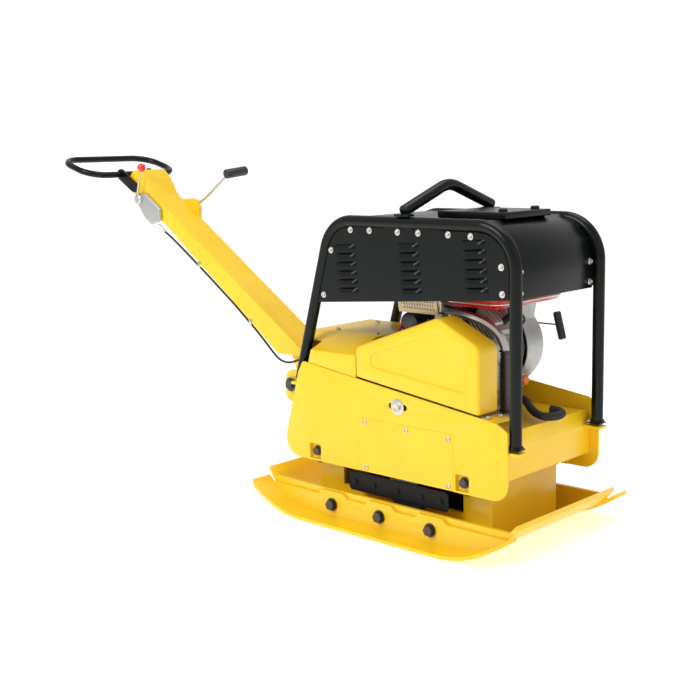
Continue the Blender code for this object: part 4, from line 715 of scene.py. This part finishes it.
@dataclass
class Hood:
    """Louvres, bolts and trim of the roll cage's hood."""

    fasteners: Fasteners
    tilt: float = math.radians(4.6)
    length: float = 0.074
    height: float = 0.0135
    depth: float = 0.0088
    pitch: float = 0.0235
    rows: int = 6
    columns: tuple[tuple[float, float], ...] = ((-0.148, 0.766), (0.0755, 0.778), (0.288, 0.794))
    bolts: tuple[tuple[float, float], ...] = (
        (-0.125, 0.813), (-0.056, 0.813), (0.043, 0.812), (0.113, 0.812), (0.211, 0.811), (0.282, 0.809),
        (-0.200, 0.755), (-0.232, 0.630), (0.375, 0.738), (0.378, 0.672),
    )

    def louvre(self) -> bpy.types.Object:
        """One pressed louvre, a scoop that opens downwards, with its back on y = 0.

        Returns:
            The scoop, with its wall's thickness.
        """
        deselect()
        bpy.ops.mesh.primitive_grid_add(x_subdivisions=18, y_subdivisions=7, size=1.0)
        scoop = bpy.context.object
        for vertex in scoop.data.vertices:
            u, v = vertex.co.x + 0.5, vertex.co.y + 0.5
            ends = min(1.0, 5.5 * min(u, 1 - u)) ** 0.6
            rise = math.sin(math.pi / 2 * (1 - v)) ** 0.8 if v < 1 else 0.0
            vertex.co = Vector(((u - 0.5) * self.length, -self.depth * ends * rise, (v - 0.5) * self.height))
        apply_modifier(scoop, "SOLIDIFY", thickness=0.0012, offset=0.0)
        return scoop

    def build(self) -> None:
        """Makes both sides' louvres and bolts."""
        low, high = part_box("hood_side_near")
        face = max(abs(low.y), abs(high.y)) + 0.0002
        scoop = self.louvre()
        template = bpy.data.objects.new("louvre", scoop.data.copy())
        bpy.data.objects.remove(scoop, do_unlink=True)
        for side in Side:
            turn = Matrix.Rotation(-self.tilt, 4, "Y")
            if side is Side.FAR:
                turn = Matrix.Scale(-1, 4, (0, 1, 0)) @ turn
            places = [
                Matrix.Translation((x + 0.002 * row, side.value * face, z - self.pitch * row)) @ turn
                for x, z in self.columns
                for row in range(self.rows)
            ]
            louvres = copies(f"hood_louvres_{side.label}", template, places)
            if side is Side.FAR:
                edit_faces(louvres, lambda centre, normal: True, lambda: bpy.ops.mesh.normals_make_consistent())
            dress(louvres, BLACK, "frame", 60)
            bolt = self.fasteners.hexagon(0.0058, 0.0088, 0.0042)
            dress(copies(f"hood_bolts_{side.label}", bolt, on_side(side, face, self.bolts)), ZINC, "frame")
        bpy.data.objects.remove(template, do_unlink=True)
        self.front_bolts()

    def front_bolts(self) -> None:
        """Bolts that hold the roof sheet's front skirt to the hoops."""
        _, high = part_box("hood_roof")
        turn = turn_to((1, 0, 0))
        places = [
            Matrix.Translation((high.x + 0.0003, side.value * 0.155, z)) @ turn for side in Side for z in (0.725, 0.672)
        ]
        bolt = self.fasteners.hexagon(0.0058, 0.0088, 0.0042)
        dress(copies("skirt_bolts", bolt, places), ZINC, "frame")


@dataclass
class Chassis:
    """Fasteners and trim of the side plates, covers and base."""

    fasteners: Fasteners
    guard_screws: tuple[tuple[float, float], ...] = (
        (-0.071, 0.292), (0.078, 0.290), (0.220, 0.289), (-0.067, 0.166), (0.220, 0.166),
    )
    tension_bolt: tuple[float, float] = (0.049, 0.351)
    pockets: tuple[tuple[float, float], ...] = ((-0.2645, 0.180), (0.2645, 0.180))

    def build(self) -> None:
        """Makes every fastener of the sprung frame and the covers."""
        outer = abs(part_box("side_plate_near")[0].y)
        screws = self.fasteners.domed(0.0068)
        dress(copies("guard_screws", screws, on_side(Side.NEAR, outer, self.guard_screws)), ZINC, "frame")
        bolt = self.fasteners.hexagon(0.0125, 0.0225, 0.008)
        dress(copies("belt_tension_bolt", bolt, on_side(Side.NEAR, outer, [self.tension_bolt])), ZINC, "frame")
        stud = self.fasteners.hexagon(0.0125, 0.0150, 0.009)
        for side in Side:
            places = on_side(side, outer - 0.0112, self.pockets)
            dress(copies(f"isolator_nuts_{side.label}", stud, places), DARK_STEEL, "frame")
        self.cover_screws()
        self.cover_flange()
        self.foot_bolts()

    def cover_screws(self) -> None:
        """Screws on the rear cover's top."""
        _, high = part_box("rear_cover")
        screw = self.fasteners.hexagon(0.0062, 0.0095, 0.0045)
        tops = [Matrix.Translation((x, y, high.z)) for x, y in ((-0.285, -0.085), (-0.285, 0.085), (-0.135, -0.085),
                                                               (-0.135, 0.085))]
        dress(copies("rear_cover_screws", screw, tops), ZINC, "frame")

    def cover_flange(self) -> None:
        """Folded flange in front of the belt cover's foot, with its two bolts."""
        def top(x: float) -> float:
            """Height of the side plate's upper edge at x."""
            return 0.398 - 0.125 * x

        outline = [(0.3186, top(0.3186) - 0.004), (0.3660, top(0.3660) - 0.004), (0.3660, top(0.3660) - 0.001),
                   (0.3186, top(0.3186) - 0.001)]
        sheet = slab("cover_flange", outline, -0.2040, -0.1300, 0.0006, 2)
        dress(sheet, YELLOW, "frame")
        bolt = self.fasteners.hexagon(0.0060, 0.0085, 0.0050)
        places = [Matrix.Translation((x, y, top(x) - 0.0010)) for x, y in ((0.3310, -0.1900), (0.3370, -0.1480))]
        dress(copies("cover_flange_bolts", bolt, places), ZINC, "frame")

    def foot_bolts(self) -> None:
        """Bolts through the cage's feet into their shelves."""
        bolt = self.fasteners.hexagon(0.0070, 0.0100, 0.006)
        places = [Matrix.Translation((0.395, side.value * 0.1775, 0.2866)) for side in Side]
        dress(copies("cage_foot_bolts", bolt, places), ZINC, "frame")


@dataclass
class Engine:
    """Trim of the engine: heat shield, leads, plug, carburettor, tank rim and starter details."""

    fasteners: Fasteners

    def build(self) -> None:
        """Makes every engine detail."""
        self.heat_shield()
        self.tank_rim()
        self.plug_and_carburettor()
        self.recoil_ribs()
        self.leads()
        self.exhaust_flex()
        self.crankcase_webs()
        self.valve_cover()

    def heat_shield(self) -> None:
        """Perforated guard on the silencer's near face, bowed outwards at its middle height."""
        box_low, box_high = Vector((-0.025, -0.110, 0.590)), Vector((0.112, -0.005, 0.660))
        deselect()
        bpy.ops.mesh.primitive_grid_add(x_subdivisions=15, y_subdivisions=7, size=1.0)
        sheet = bpy.context.object
        edit_faces(sheet, lambda centre, normal: abs(centre.x) < 0.45 and abs(centre.y) < 0.40,
                   lambda: bpy.ops.mesh.inset(thickness=0.018, use_individual=True),
                   lambda: bpy.ops.mesh.delete(type="FACE"))
        width, rise = box_high.x - box_low.x, box_high.z - box_low.z
        for vertex in sheet.data.vertices:
            u, v = vertex.co.x, vertex.co.y
            bow = 0.006 * (1 - (2 * v) ** 2)
            vertex.co = Vector((box_low.x + width * (u + 0.5), box_low.y - 0.003 - bow, box_low.z + rise * (v + 0.5)))
        apply_modifier(sheet, "SOLIDIFY", thickness=0.0012)
        sheet.name = "heat_shield"
        dress(sheet, SHIELD, "frame")

    def tank_rim(self) -> None:
        """Welded seam round the fuel tank's middle."""
        low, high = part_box("fuel_tank")
        corner, height = 0.030, low.z + 0.016
        pull = 0.005
        inset_low = Vector((low.x + corner + pull, low.y + corner + pull))
        inset_high = Vector((high.x - corner - pull, high.y - corner - pull))
        ring = []
        for middle, start in (((inset_high.x, inset_high.y), 0), ((inset_low.x, inset_high.y), 90),
                              ((inset_low.x, inset_low.y), 180), ((inset_high.x, inset_low.y), 270)):
            for step in range(7):
                angle = math.radians(start + 15 * step)
                ring.append((middle[0] + corner * math.cos(angle), middle[1] + corner * math.sin(angle), height))
        dress(tube("tank_seam", ring, 0.0034, 3, closed=True), ZINC, "frame")

    def plug_and_carburettor(self) -> None:
        """Spark plug cap with its lead, and the carburettor below the air cleaner."""
        _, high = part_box("cylinder")
        tip = Vector((high.x - 0.018, 0.0, high.z - 0.040))
        cap = cylinder("plug_cap", 0.0095, 0.034)
        edit_faces(cap, lambda centre, normal: normal.z > 0.9, lambda: bpy.ops.mesh.inset(thickness=0.003),
                   lambda: bpy.ops.mesh.extrude_region_move(TRANSFORM_OT_translate={"value": (0, 0, 0.010)}))
        cap.data.transform(Matrix.Translation(tip) @ turn_to((0.766, 0, 0.643)))
        dress(cap, PLASTIC, "frame")
        end = tip + Vector((0.030, 0.0, 0.026))
        route = [end, end + Vector((0.012, 0.014, 0.002)), end + Vector((0.004, 0.050, -0.020)),
                 Vector((0.225, 0.095, 0.545)), Vector((0.200, 0.125, 0.540))]
        dress(tube("plug_lead", smooth_route(route), 0.0035), RUBBER, "frame")
        bowl = cylinder("carburettor", 0.019, 0.030, 24)
        edit_faces(bowl, lambda centre, normal: normal.z < -0.9, lambda: bpy.ops.mesh.inset(thickness=0.005),
                   lambda: bpy.ops.mesh.extrude_region_move(TRANSFORM_OT_translate={"value": (0, 0, -0.010)}))
        bowl.data.transform(Matrix.Translation((0.128, 0.080, 0.566)))
        dress(bowl, ALUMINIUM, "frame")

    def recoil_ribs(self) -> None:
        """Cooling ribs on the recoil cover's face."""
        low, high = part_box("recoil_cover")
        centre = (low + high) / 2
        face = high.y - 0.004
        ribs = []
        for index in range(12):
            angle = math.tau * index / 12
            rib = block("rib", (0.046, -0.0035, -0.004), (0.076, 0.0035, 0.0022), 0.0015, 2)
            rib.data.transform(
                Matrix.Translation((centre.x, face, centre.z)) @ turn_to((0, 1, 0)) @ Matrix.Rotation(angle, 4, "Z")
            )
            ribs.append(rib)
        dress(join("recoil_ribs", ribs), ALUMINIUM, "frame")

    def exhaust_flex(self) -> None:
        """Corrugated steel sleeve on the exhaust's down-pipe, with a clamp at its top."""
        line, rings = [], []
        for step in range(49):
            z = 0.505 - 0.165 * step / 48
            line.append(Vector((0.285, -0.050, z)))
        sleeve = tube("exhaust_flex", line, 0.0150, 5)
        for vertex in sleeve.data.vertices:
            swell = 1.0 + 0.075 * math.cos(math.tau * (vertex.co.z - 0.34) / 0.0118)
            vertex.co.x = 0.285 + (vertex.co.x - 0.285) * swell
            vertex.co.y = -0.050 + (vertex.co.y + 0.050) * swell
        for z in (0.503, 0.345):
            turns = [math.tau * step / 24 for step in range(24)]
            ring = [(0.285 + 0.0165 * math.cos(turn), -0.050 + 0.0165 * math.sin(turn), z) for turn in turns]
            rings.append(tube("band", ring, 0.0022, 2, True))
        dress(join("exhaust_flex", [sleeve, *rings]), DARK_STEEL, "frame", 60)

    def crankcase_webs(self) -> None:
        """Stiffening webs and flange bolts on the crankcase's front face."""
        low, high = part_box("crankcase")
        webs = []
        for y in (-0.072, -0.036, 0.0, 0.036):
            webs.append(block("web", (high.x - 0.004, y - 0.0025, low.z + 0.035), (high.x + 0.0065, y + 0.0025,
                                                                                  low.z + 0.150), 0.002, 2))
        rim = block("rim", (high.x - 0.004, -0.095, low.z + 0.022), (high.x + 0.008, 0.062, low.z + 0.030), 0.002, 2)
        dress(join("crankcase_webs", [*webs, rim]), ALUMINIUM, "frame")
        bolt = self.fasteners.hexagon(0.0055, 0.0075, 0.005)
        turn = turn_to((1, 0, 0))
        places = [Matrix.Translation((high.x + 0.0001, y, low.z + 0.012)) @ turn for y in (-0.085, -0.045, 0.0, 0.045)]
        dress(copies("sump_bolts", bolt, places), ZINC, "frame")

    def valve_cover(self) -> None:
        """Ribbed valve cover on the leaning cylinder's head."""
        _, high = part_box("cylinder")
        lean = turn_to((math.cos(math.radians(50)), 0, math.sin(math.radians(50))))
        centre = Vector((high.x - 0.040, 0.0, high.z - 0.022))
        body = block("cover", (-0.034, -0.044, -0.012), (0.034, 0.044, 0.010), 0.006, 3)
        ribs = [block("rib", (-0.030, y - 0.002, 0.008), (0.030, y + 0.002, 0.0135), 0.0015, 2)
                for y in (-0.030, -0.015, 0.0, 0.015, 0.030)]
        cover = join("valve_cover", [body, *ribs])
        cover.data.transform(Matrix.Translation(centre) @ lean)
        dress(cover, ALUMINIUM, "frame")

    def leads(self) -> None:
        """Battery leads from the rear cover to the electric starter."""
        red = [(-0.1035, -0.030, 0.470), (-0.092, -0.034, 0.474), (-0.078, -0.045, 0.492), (-0.070, -0.060, 0.516),
               (-0.062, -0.068, 0.536), (-0.050, -0.066, 0.550)]
        black = [(-0.1035, -0.010, 0.466), (-0.090, -0.012, 0.472), (-0.074, -0.018, 0.490), (-0.068, -0.028, 0.515),
                 (-0.066, -0.036, 0.540)]
        dress(tube("battery_lead_red", smooth_route(red), 0.0042), LEAD_RED, "frame")
        dress(tube("battery_lead_black", smooth_route(black), 0.0042), RUBBER, "frame")


@dataclass
class Drawbar:
    """Clips and fittings along the pole."""

    clips: tuple[tuple[float, float], ...] = ((-0.940, 0.6585), (-0.700, 0.489))

    def build(self) -> None:
        """Makes the cable's clips and its ferrule at the throttle housing."""
        made = []
        for x, z in self.clips:
            clip = block("clip", (-0.006, -0.0015, -0.0060), (0.006, 0.0015, 0.016), 0.001, 2)
            clip.data.transform(Matrix.Translation((x, -0.0545, z)))
            made.append(clip)
        dress(join("cable_clips", made), ZINC, "pole")
        start, end = Vector((-1.137, -0.0595, 0.788)), Vector((-1.112, -0.056, 0.768))
        ferrule = cylinder("cable_ferrule", 0.0055, (end - start).length)
        edit_faces(ferrule, lambda centre, normal: normal.z > 0.9, lambda: bpy.ops.mesh.inset(thickness=0.0012),
                   lambda: bpy.ops.mesh.extrude_region_move(TRANSFORM_OT_translate={"value": (0, 0, 0.005)}))
        ferrule.data.transform(Matrix.Translation(start) @ turn_to(end - start))
        dress(ferrule, ZINC, "pole")


@dataclass
class Cage:
    """The smooth roll cage: two hoops, their feet and the lifting bar."""

    radius: float = 0.016
    top: float = 0.836
    side: float = 0.186
    front: float = 0.4135
    front_foot: float = 0.2865
    rear_foot: tuple[float, float] = (-0.3406, 0.378)
    lean: float = 0.298
    front_bend: float = 0.11
    rear_bend: float = 0.10
    lift_x: float = 0.060
    lift_apex: float = 0.922
    lift_radius: float = 0.0155
    lift_bend: float = 0.070

    def hoop(self, side: Side) -> None:
        """One hoop of round tube with welded foot plates."""
        rear_top = self.rear_foot[0] + (self.top - self.rear_foot[1]) * self.lean
        corners = [(self.front, self.front_foot + 0.004), (self.front, self.top), (rear_top, self.top),
                   (self.rear_foot[0], self.rear_foot[1] + 0.002)]
        line = rounded(corners, [0.0, self.front_bend, self.rear_bend, 0.0], 18)
        path = [(x, side.value * self.side, z) for x, z in line]
        bar = tube(f"cage_hoop_{side.label}", path, self.radius, 6)
        _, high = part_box(f"hoop_{side.label}")
        y = side.value * self.side
        foot = block("foot", (self.front - 0.018, y - 0.0170, self.front_foot),
                     (min(self.front + 0.018, high.x), y + 0.0170, self.front_foot + 0.005), 0.0012, 2)
        bead = tube("bead", [(self.front + (self.radius + 0.0012) * math.cos(math.tau * step / 20),
                              y + (self.radius + 0.0012) * math.sin(math.tau * step / 20),
                              self.front_foot + 0.0075 + 0.0006 * (step % 2)) for step in range(20)], 0.0026, 2, True)
        made = dress(join(f"cage_hoop_{side.label}", [bar, foot, bead]), BLACK, "frame", 40)
        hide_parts(f"hoop_{side.label}")

    def lift(self) -> None:
        """The lifting bar, a bent tube on the two hoops, with flattened and welded ends."""
        foot_z = self.top + self.radius
        leg_z = foot_z + self.lift_radius * 0.95
        corners = [(-self.side, leg_z), (0.0, self.lift_apex + 0.012), (self.side, leg_z)]
        line = rounded(corners, [0.0, self.lift_bend + 0.03, 0.0], 20)
        bar = tube("lifting_tube", [(self.lift_x, y, z) for y, z in line], self.lift_radius, 6)
        apply_modifier(bar, "WELD", merge_threshold=0.00001)
        feet = [block("foot", (self.lift_x - 0.024, side.value * self.side - 0.0135, foot_z + 0.0006),
                      (self.lift_x + 0.024, side.value * self.side + 0.0135, foot_z + 0.0070), 0.0014, 2)
                for side in Side]
        made = dress(join("lifting_tube", [bar, *feet]), BLACK, "frame", 40)
        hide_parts("lifting_bar")

    def build(self) -> None:
        """Makes both hoops and the lifting bar."""
        for side in Side:
            self.hoop(side)
        self.lift()


@dataclass
class BeltCover:
    """The belt cover, a smooth shell with softened edges."""

    rim: float = 0.004

    def build(self) -> None:
        """Makes the shell from the CAD cover's own surface."""
        node = bpy.data.objects["belt_cover"]
        copy = bpy.data.objects.new("belt_cover_shell", node.data.copy())
        bpy.context.collection.objects.link(copy)
        apply_modifier(copy, "WELD", merge_threshold=0.00002)
        edit_faces(copy, lambda centre, normal: True,
                   lambda: bpy.ops.mesh.tris_convert_to_quads(face_threshold=0.02, shape_threshold=3.14),
                   lambda: bpy.ops.mesh.dissolve_limited(angle_limit=math.radians(1.0)))
        apply_modifier(copy, "BEVEL", width=self.rim, segments=3, limit_method="ANGLE", angle_limit=math.radians(28))
        dress(copy, YELLOW, "frame", 40)
        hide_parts("belt_cover")


@dataclass
class ControlHandle:
    """The operator's control loop, a smooth tube with its two clamping arms."""

    def build(self) -> None:
        """Rebuilds the loop smoothly from the CAD loop's own surface."""
        made = smooth_copy("control_handle", "control_loop", 0.0, 48.0)
        dress(made, BLACK, "control", 48)
        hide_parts("control_handle")


@dataclass
class Castings:
    """CAD pieces whose shape is right and only want merged, smooth-shaded surfaces with softened rims."""

    rims: dict[str, tuple[Finish, str, float]] = field(default_factory=lambda: {
        "side_plate_near": (YELLOW, "frame", 0.0012), "side_plate_far": (YELLOW, "frame", 0.0012),
        "rear_cover": (YELLOW, "frame", 0.006), "front_panel": (YELLOW, "frame", 0.0015),
        "rear_panel": (YELLOW, "frame", 0.0015), "extension_near": (YELLOW, "base", 0.0015),
        "extension_far": (YELLOW, "base", 0.0015), "base_plate": (YELLOW, "base", 0.0012),
        "pole_beam": (YELLOW, "pole", 0.0015), "roof_hatch": (BLACK, "hatch", 0.0012),
        "hood_roof": (BLACK, "frame", 0.0006), "fuel_tank": (TANK_RED, "frame", 0.0012),
        "recoil_cover": (ALUMINIUM, "frame", 0.0012), "fan_cover": (ALUMINIUM, "frame", 0.0012),
        "throttle_box": (ALUMINIUM, "pole", 0.0025), "throttle_knob": (KNOB_RED, "throttle", 0.0),
        "lock_lever": (PLASTIC, "lock", 0.0), "throttle_cable": (RUBBER, "pole", 0.0),
        "drain_hose": (RUBBER, "frame", 0.0), "crankcase": (ALUMINIUM, "frame", 0.0015),
        "air_cleaner": (PLASTIC, "frame", 0.003), "muffler": (ZINC, "frame", 0.0),
        "electric_starter": (DARK_STEEL, "frame", 0.001),
    })

    def build(self) -> None:
        """Makes the smooth pieces and lets each stand for its CAD node."""
        for node, (finish, body, rim) in self.rims.items():
            made = smooth_copy(node, f"{node}_skin", rim, 30.0)
            dress(made, finish, body, 42)
            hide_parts(node)


@dataclass
class DriveBelt:
    """The V-belt, whose lower end stays with the exciter while the frame rides on its rubber mounts."""

    stretch_from: float = 0.175
    stretch_to: float = 0.390

    def build(self) -> None:
        """Makes the smooth, finely subdivided belt that stands in for the CAD belt."""
        made = smooth_copy("v_belt", "drive_belt", 0.0, 40.0)
        edit_faces(made, lambda centre, normal: True,
                   lambda: bpy.ops.mesh.quads_convert_to_tris(),
                   lambda: bpy.ops.mesh.subdivide(number_cuts=3))
        made.data.materials.clear()
        made.data.materials.append(RUBBER.build())
        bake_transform(made)
        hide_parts("v_belt")
        LOG.info("made drive_belt")


@dataclass
class CableLoop:
    """The throttle cable's slack loop, which bends between the pole and the frame as the pole tilts."""

    frame_end: Point = (-0.400, -0.070, 0.440)
    pole_end: Point = (-0.672, -0.047, 0.464)

    def build(self) -> None:
        """Makes the smooth loop that stands in for the CAD loop."""
        made = smooth_copy("throttle_cable_loop", "cable_loop", 0.0, 40.0)
        made.data.materials.clear()
        made.data.materials.append(RUBBER.build())
        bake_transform(made)
        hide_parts("throttle_cable_loop")
        LOG.info("made cable_loop")


@dataclass
class PoleTrim:
    """The nuts of the drawbar's pivot and the bright rod of its height lock."""

    fasteners: Fasteners
    sleeve: float = 0.0047
    pivot: Point = (-1.085, 0.0635, 0.850)

    def build(self) -> None:
        """Makes the two nuts, and the plated rod that covers the CAD rod."""
        low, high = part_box("pivot_pin")
        centre = (low + high) / 2
        bolt = self.fasteners.hexagon(0.0150, 0.0215, 0.0090)
        places = [Matrix.Translation((centre.x, side_y, centre.z)) @ turn_to((0, way, 0))
                  for side_y, way in ((low.y - 0.0002, -1), (high.y + 0.0002, 1))]
        dress(copies("pivot_nuts", bolt, places), DARK_STEEL, "frame")
        x, y, z = self.pivot
        line = [(x, y + 0.004, z), (x + 0.040, y + 0.006, z + 0.020), (x + 0.157, y + 0.006, z + 0.0973)]
        dress(tube("lock_rod_plating", line, self.sleeve, 5), ZINC, "lock")


@dataclass
class ExciterGuard:
    """Black flange of the exciter that shows under the side plate, with its bolts."""

    fasteners: Fasteners

    def build(self) -> None:
        """Makes the flange rail and its bolt heads on both sides."""
        for side in Side:
            y = side.value * 0.1935
            low, high = sorted((y, y - side.value * 0.0025))
            outline = rounded([(-0.150, 0.086), (0.205, 0.086), (0.205, 0.140), (-0.150, 0.140)], [0.012] * 4, 5)
            rail = slab(f"exciter_flange_{side.label}", outline, low, high, 0.0008, 2)
            bolt = self.fasteners.hexagon(0.0065, 0.0085, 0.0040)
            places = on_side(side, 0.1935, [(x, 0.112) for x in (-0.125, -0.055, 0.030, 0.115, 0.180)])
            heads = copies("flange_bolts", bolt, places)
            dress(join(f"exciter_flange_{side.label}", [rail, heads]), BLACK_IRON, "base")


# ---------------------------------------------------------------- studio


@dataclass
class Studio:
    """Floor, soft light and camera."""

    eye: tuple[float, float, float] = (2.098, -2.540, 1.037)
    ahead: tuple[float, float, float] = (-0.6797, 0.7138, -0.1685)
    roll: float = math.radians(-1.25)
    lens: float = 61.54

    def camera(self) -> None:
        """Places the camera and makes it the scene's."""
        data = bpy.data.cameras.new("camera")
        data.lens = self.lens
        data.clip_end = 60.0
        eye = bpy.data.objects.new("camera", data)
        ahead = Vector(self.ahead).normalized()
        right = ahead.cross(UP).normalized()
        above = right.cross(ahead)
        right = right * math.cos(self.roll) + above * math.sin(self.roll)
        above = right.cross(ahead)
        turn = Matrix((right, above, -ahead)).transposed().to_4x4()
        eye.matrix_world = Matrix.Translation(self.eye) @ turn
        bpy.context.collection.objects.link(eye)
        bpy.context.scene.camera = eye

    def light(self, name: str, place: Point, size: float, power: float) -> None:
        """Adds one soft area light that looks at the machine's middle."""
        data = bpy.data.lights.new(name, "AREA")
        data.shape = "SQUARE"
        data.size = size
        data.energy = power
        lamp = bpy.data.objects.new(name, data)
        lamp.location = place
        lamp.rotation_euler = (Vector((0, 0, 0.4)) - Vector(place)).to_track_quat("-Z", "Y").to_euler()
        bpy.context.collection.objects.link(lamp)

    def build(self) -> None:
        """Makes the floor, the lights, the world and the camera."""
        deselect()
        bpy.ops.mesh.primitive_plane_add(size=40.0, location=(0, 0, -0.0005))
        floor = bpy.context.object
        floor.name = "floor"
        paper = bpy.data.materials.new("floor_paper")
        paper.use_nodes = True
        shader = paper.node_tree.nodes["Principled BSDF"]
        shader.inputs["Base Color"].default_value = (0.93, 0.93, 0.93, 1)
        shader.inputs["Roughness"].default_value = 0.85
        shader.inputs["Emission Color"].default_value = (1.0, 1.0, 1.0, 1)
        shader.inputs["Emission Strength"].default_value = 0.50
        floor.data.materials.append(paper)
        world = bpy.data.worlds.new("studio")
        world.use_nodes = True
        tree = world.node_tree
        tree.nodes["Background"].inputs["Color"].default_value = (1.0, 1.0, 1.0, 1)
        seen = tree.nodes.new("ShaderNodeLightPath").outputs["Is Camera Ray"]
        tree.links.new(map_range(tree, seen, 0.0, 1.0, 0.62, 1.15), tree.nodes["Background"].inputs["Strength"])
        bpy.context.scene.world = world
        bpy.context.scene.view_settings.view_transform = "Standard"
        self.light("key", (-1.0, -3.6, 3.2), 2.0, 92)
        self.light("fill", (3.8, -0.6, 2.2), 2.4, 8)
        self.light("top", (0.2, 0.6, 4.2), 2.4, 46)
        self.camera()


def dress_nodes() -> None:
    """Gives every CAD node its finish."""
    for finish, names in NODE_FINISH.items():
        for name in names:
            node = bpy.data.objects[name]
            if not node.material_slots:
                node.data.materials.append(finish.build())
            for held in node.material_slots:
                held.material = finish.build()


def main() -> None:
    """Builds every visible piece, in order."""
    logging.basicConfig(level=logging.INFO, format="%(name)s: %(message)s")
    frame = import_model()
    LOG.info("loaded %d nodes", len(frame["nodes"]))
    Studio().build()
    mottle_group()
    dust_group()
    relief_group()
    dress_nodes()
    fasteners = Fasteners()
    Hood(fasteners).build()
    Chassis(fasteners).build()
    Engine(fasteners).build()
    Drawbar().build()
    Cage().build()
    BeltCover().build()
    ControlHandle().build()
    Castings().build()
    ExciterGuard(fasteners).build()
    DriveBelt().build()
    CableLoop().build()
    PoleTrim(fasteners).build()
    fasteners.discard()


if __name__ == "__main__":
    main()
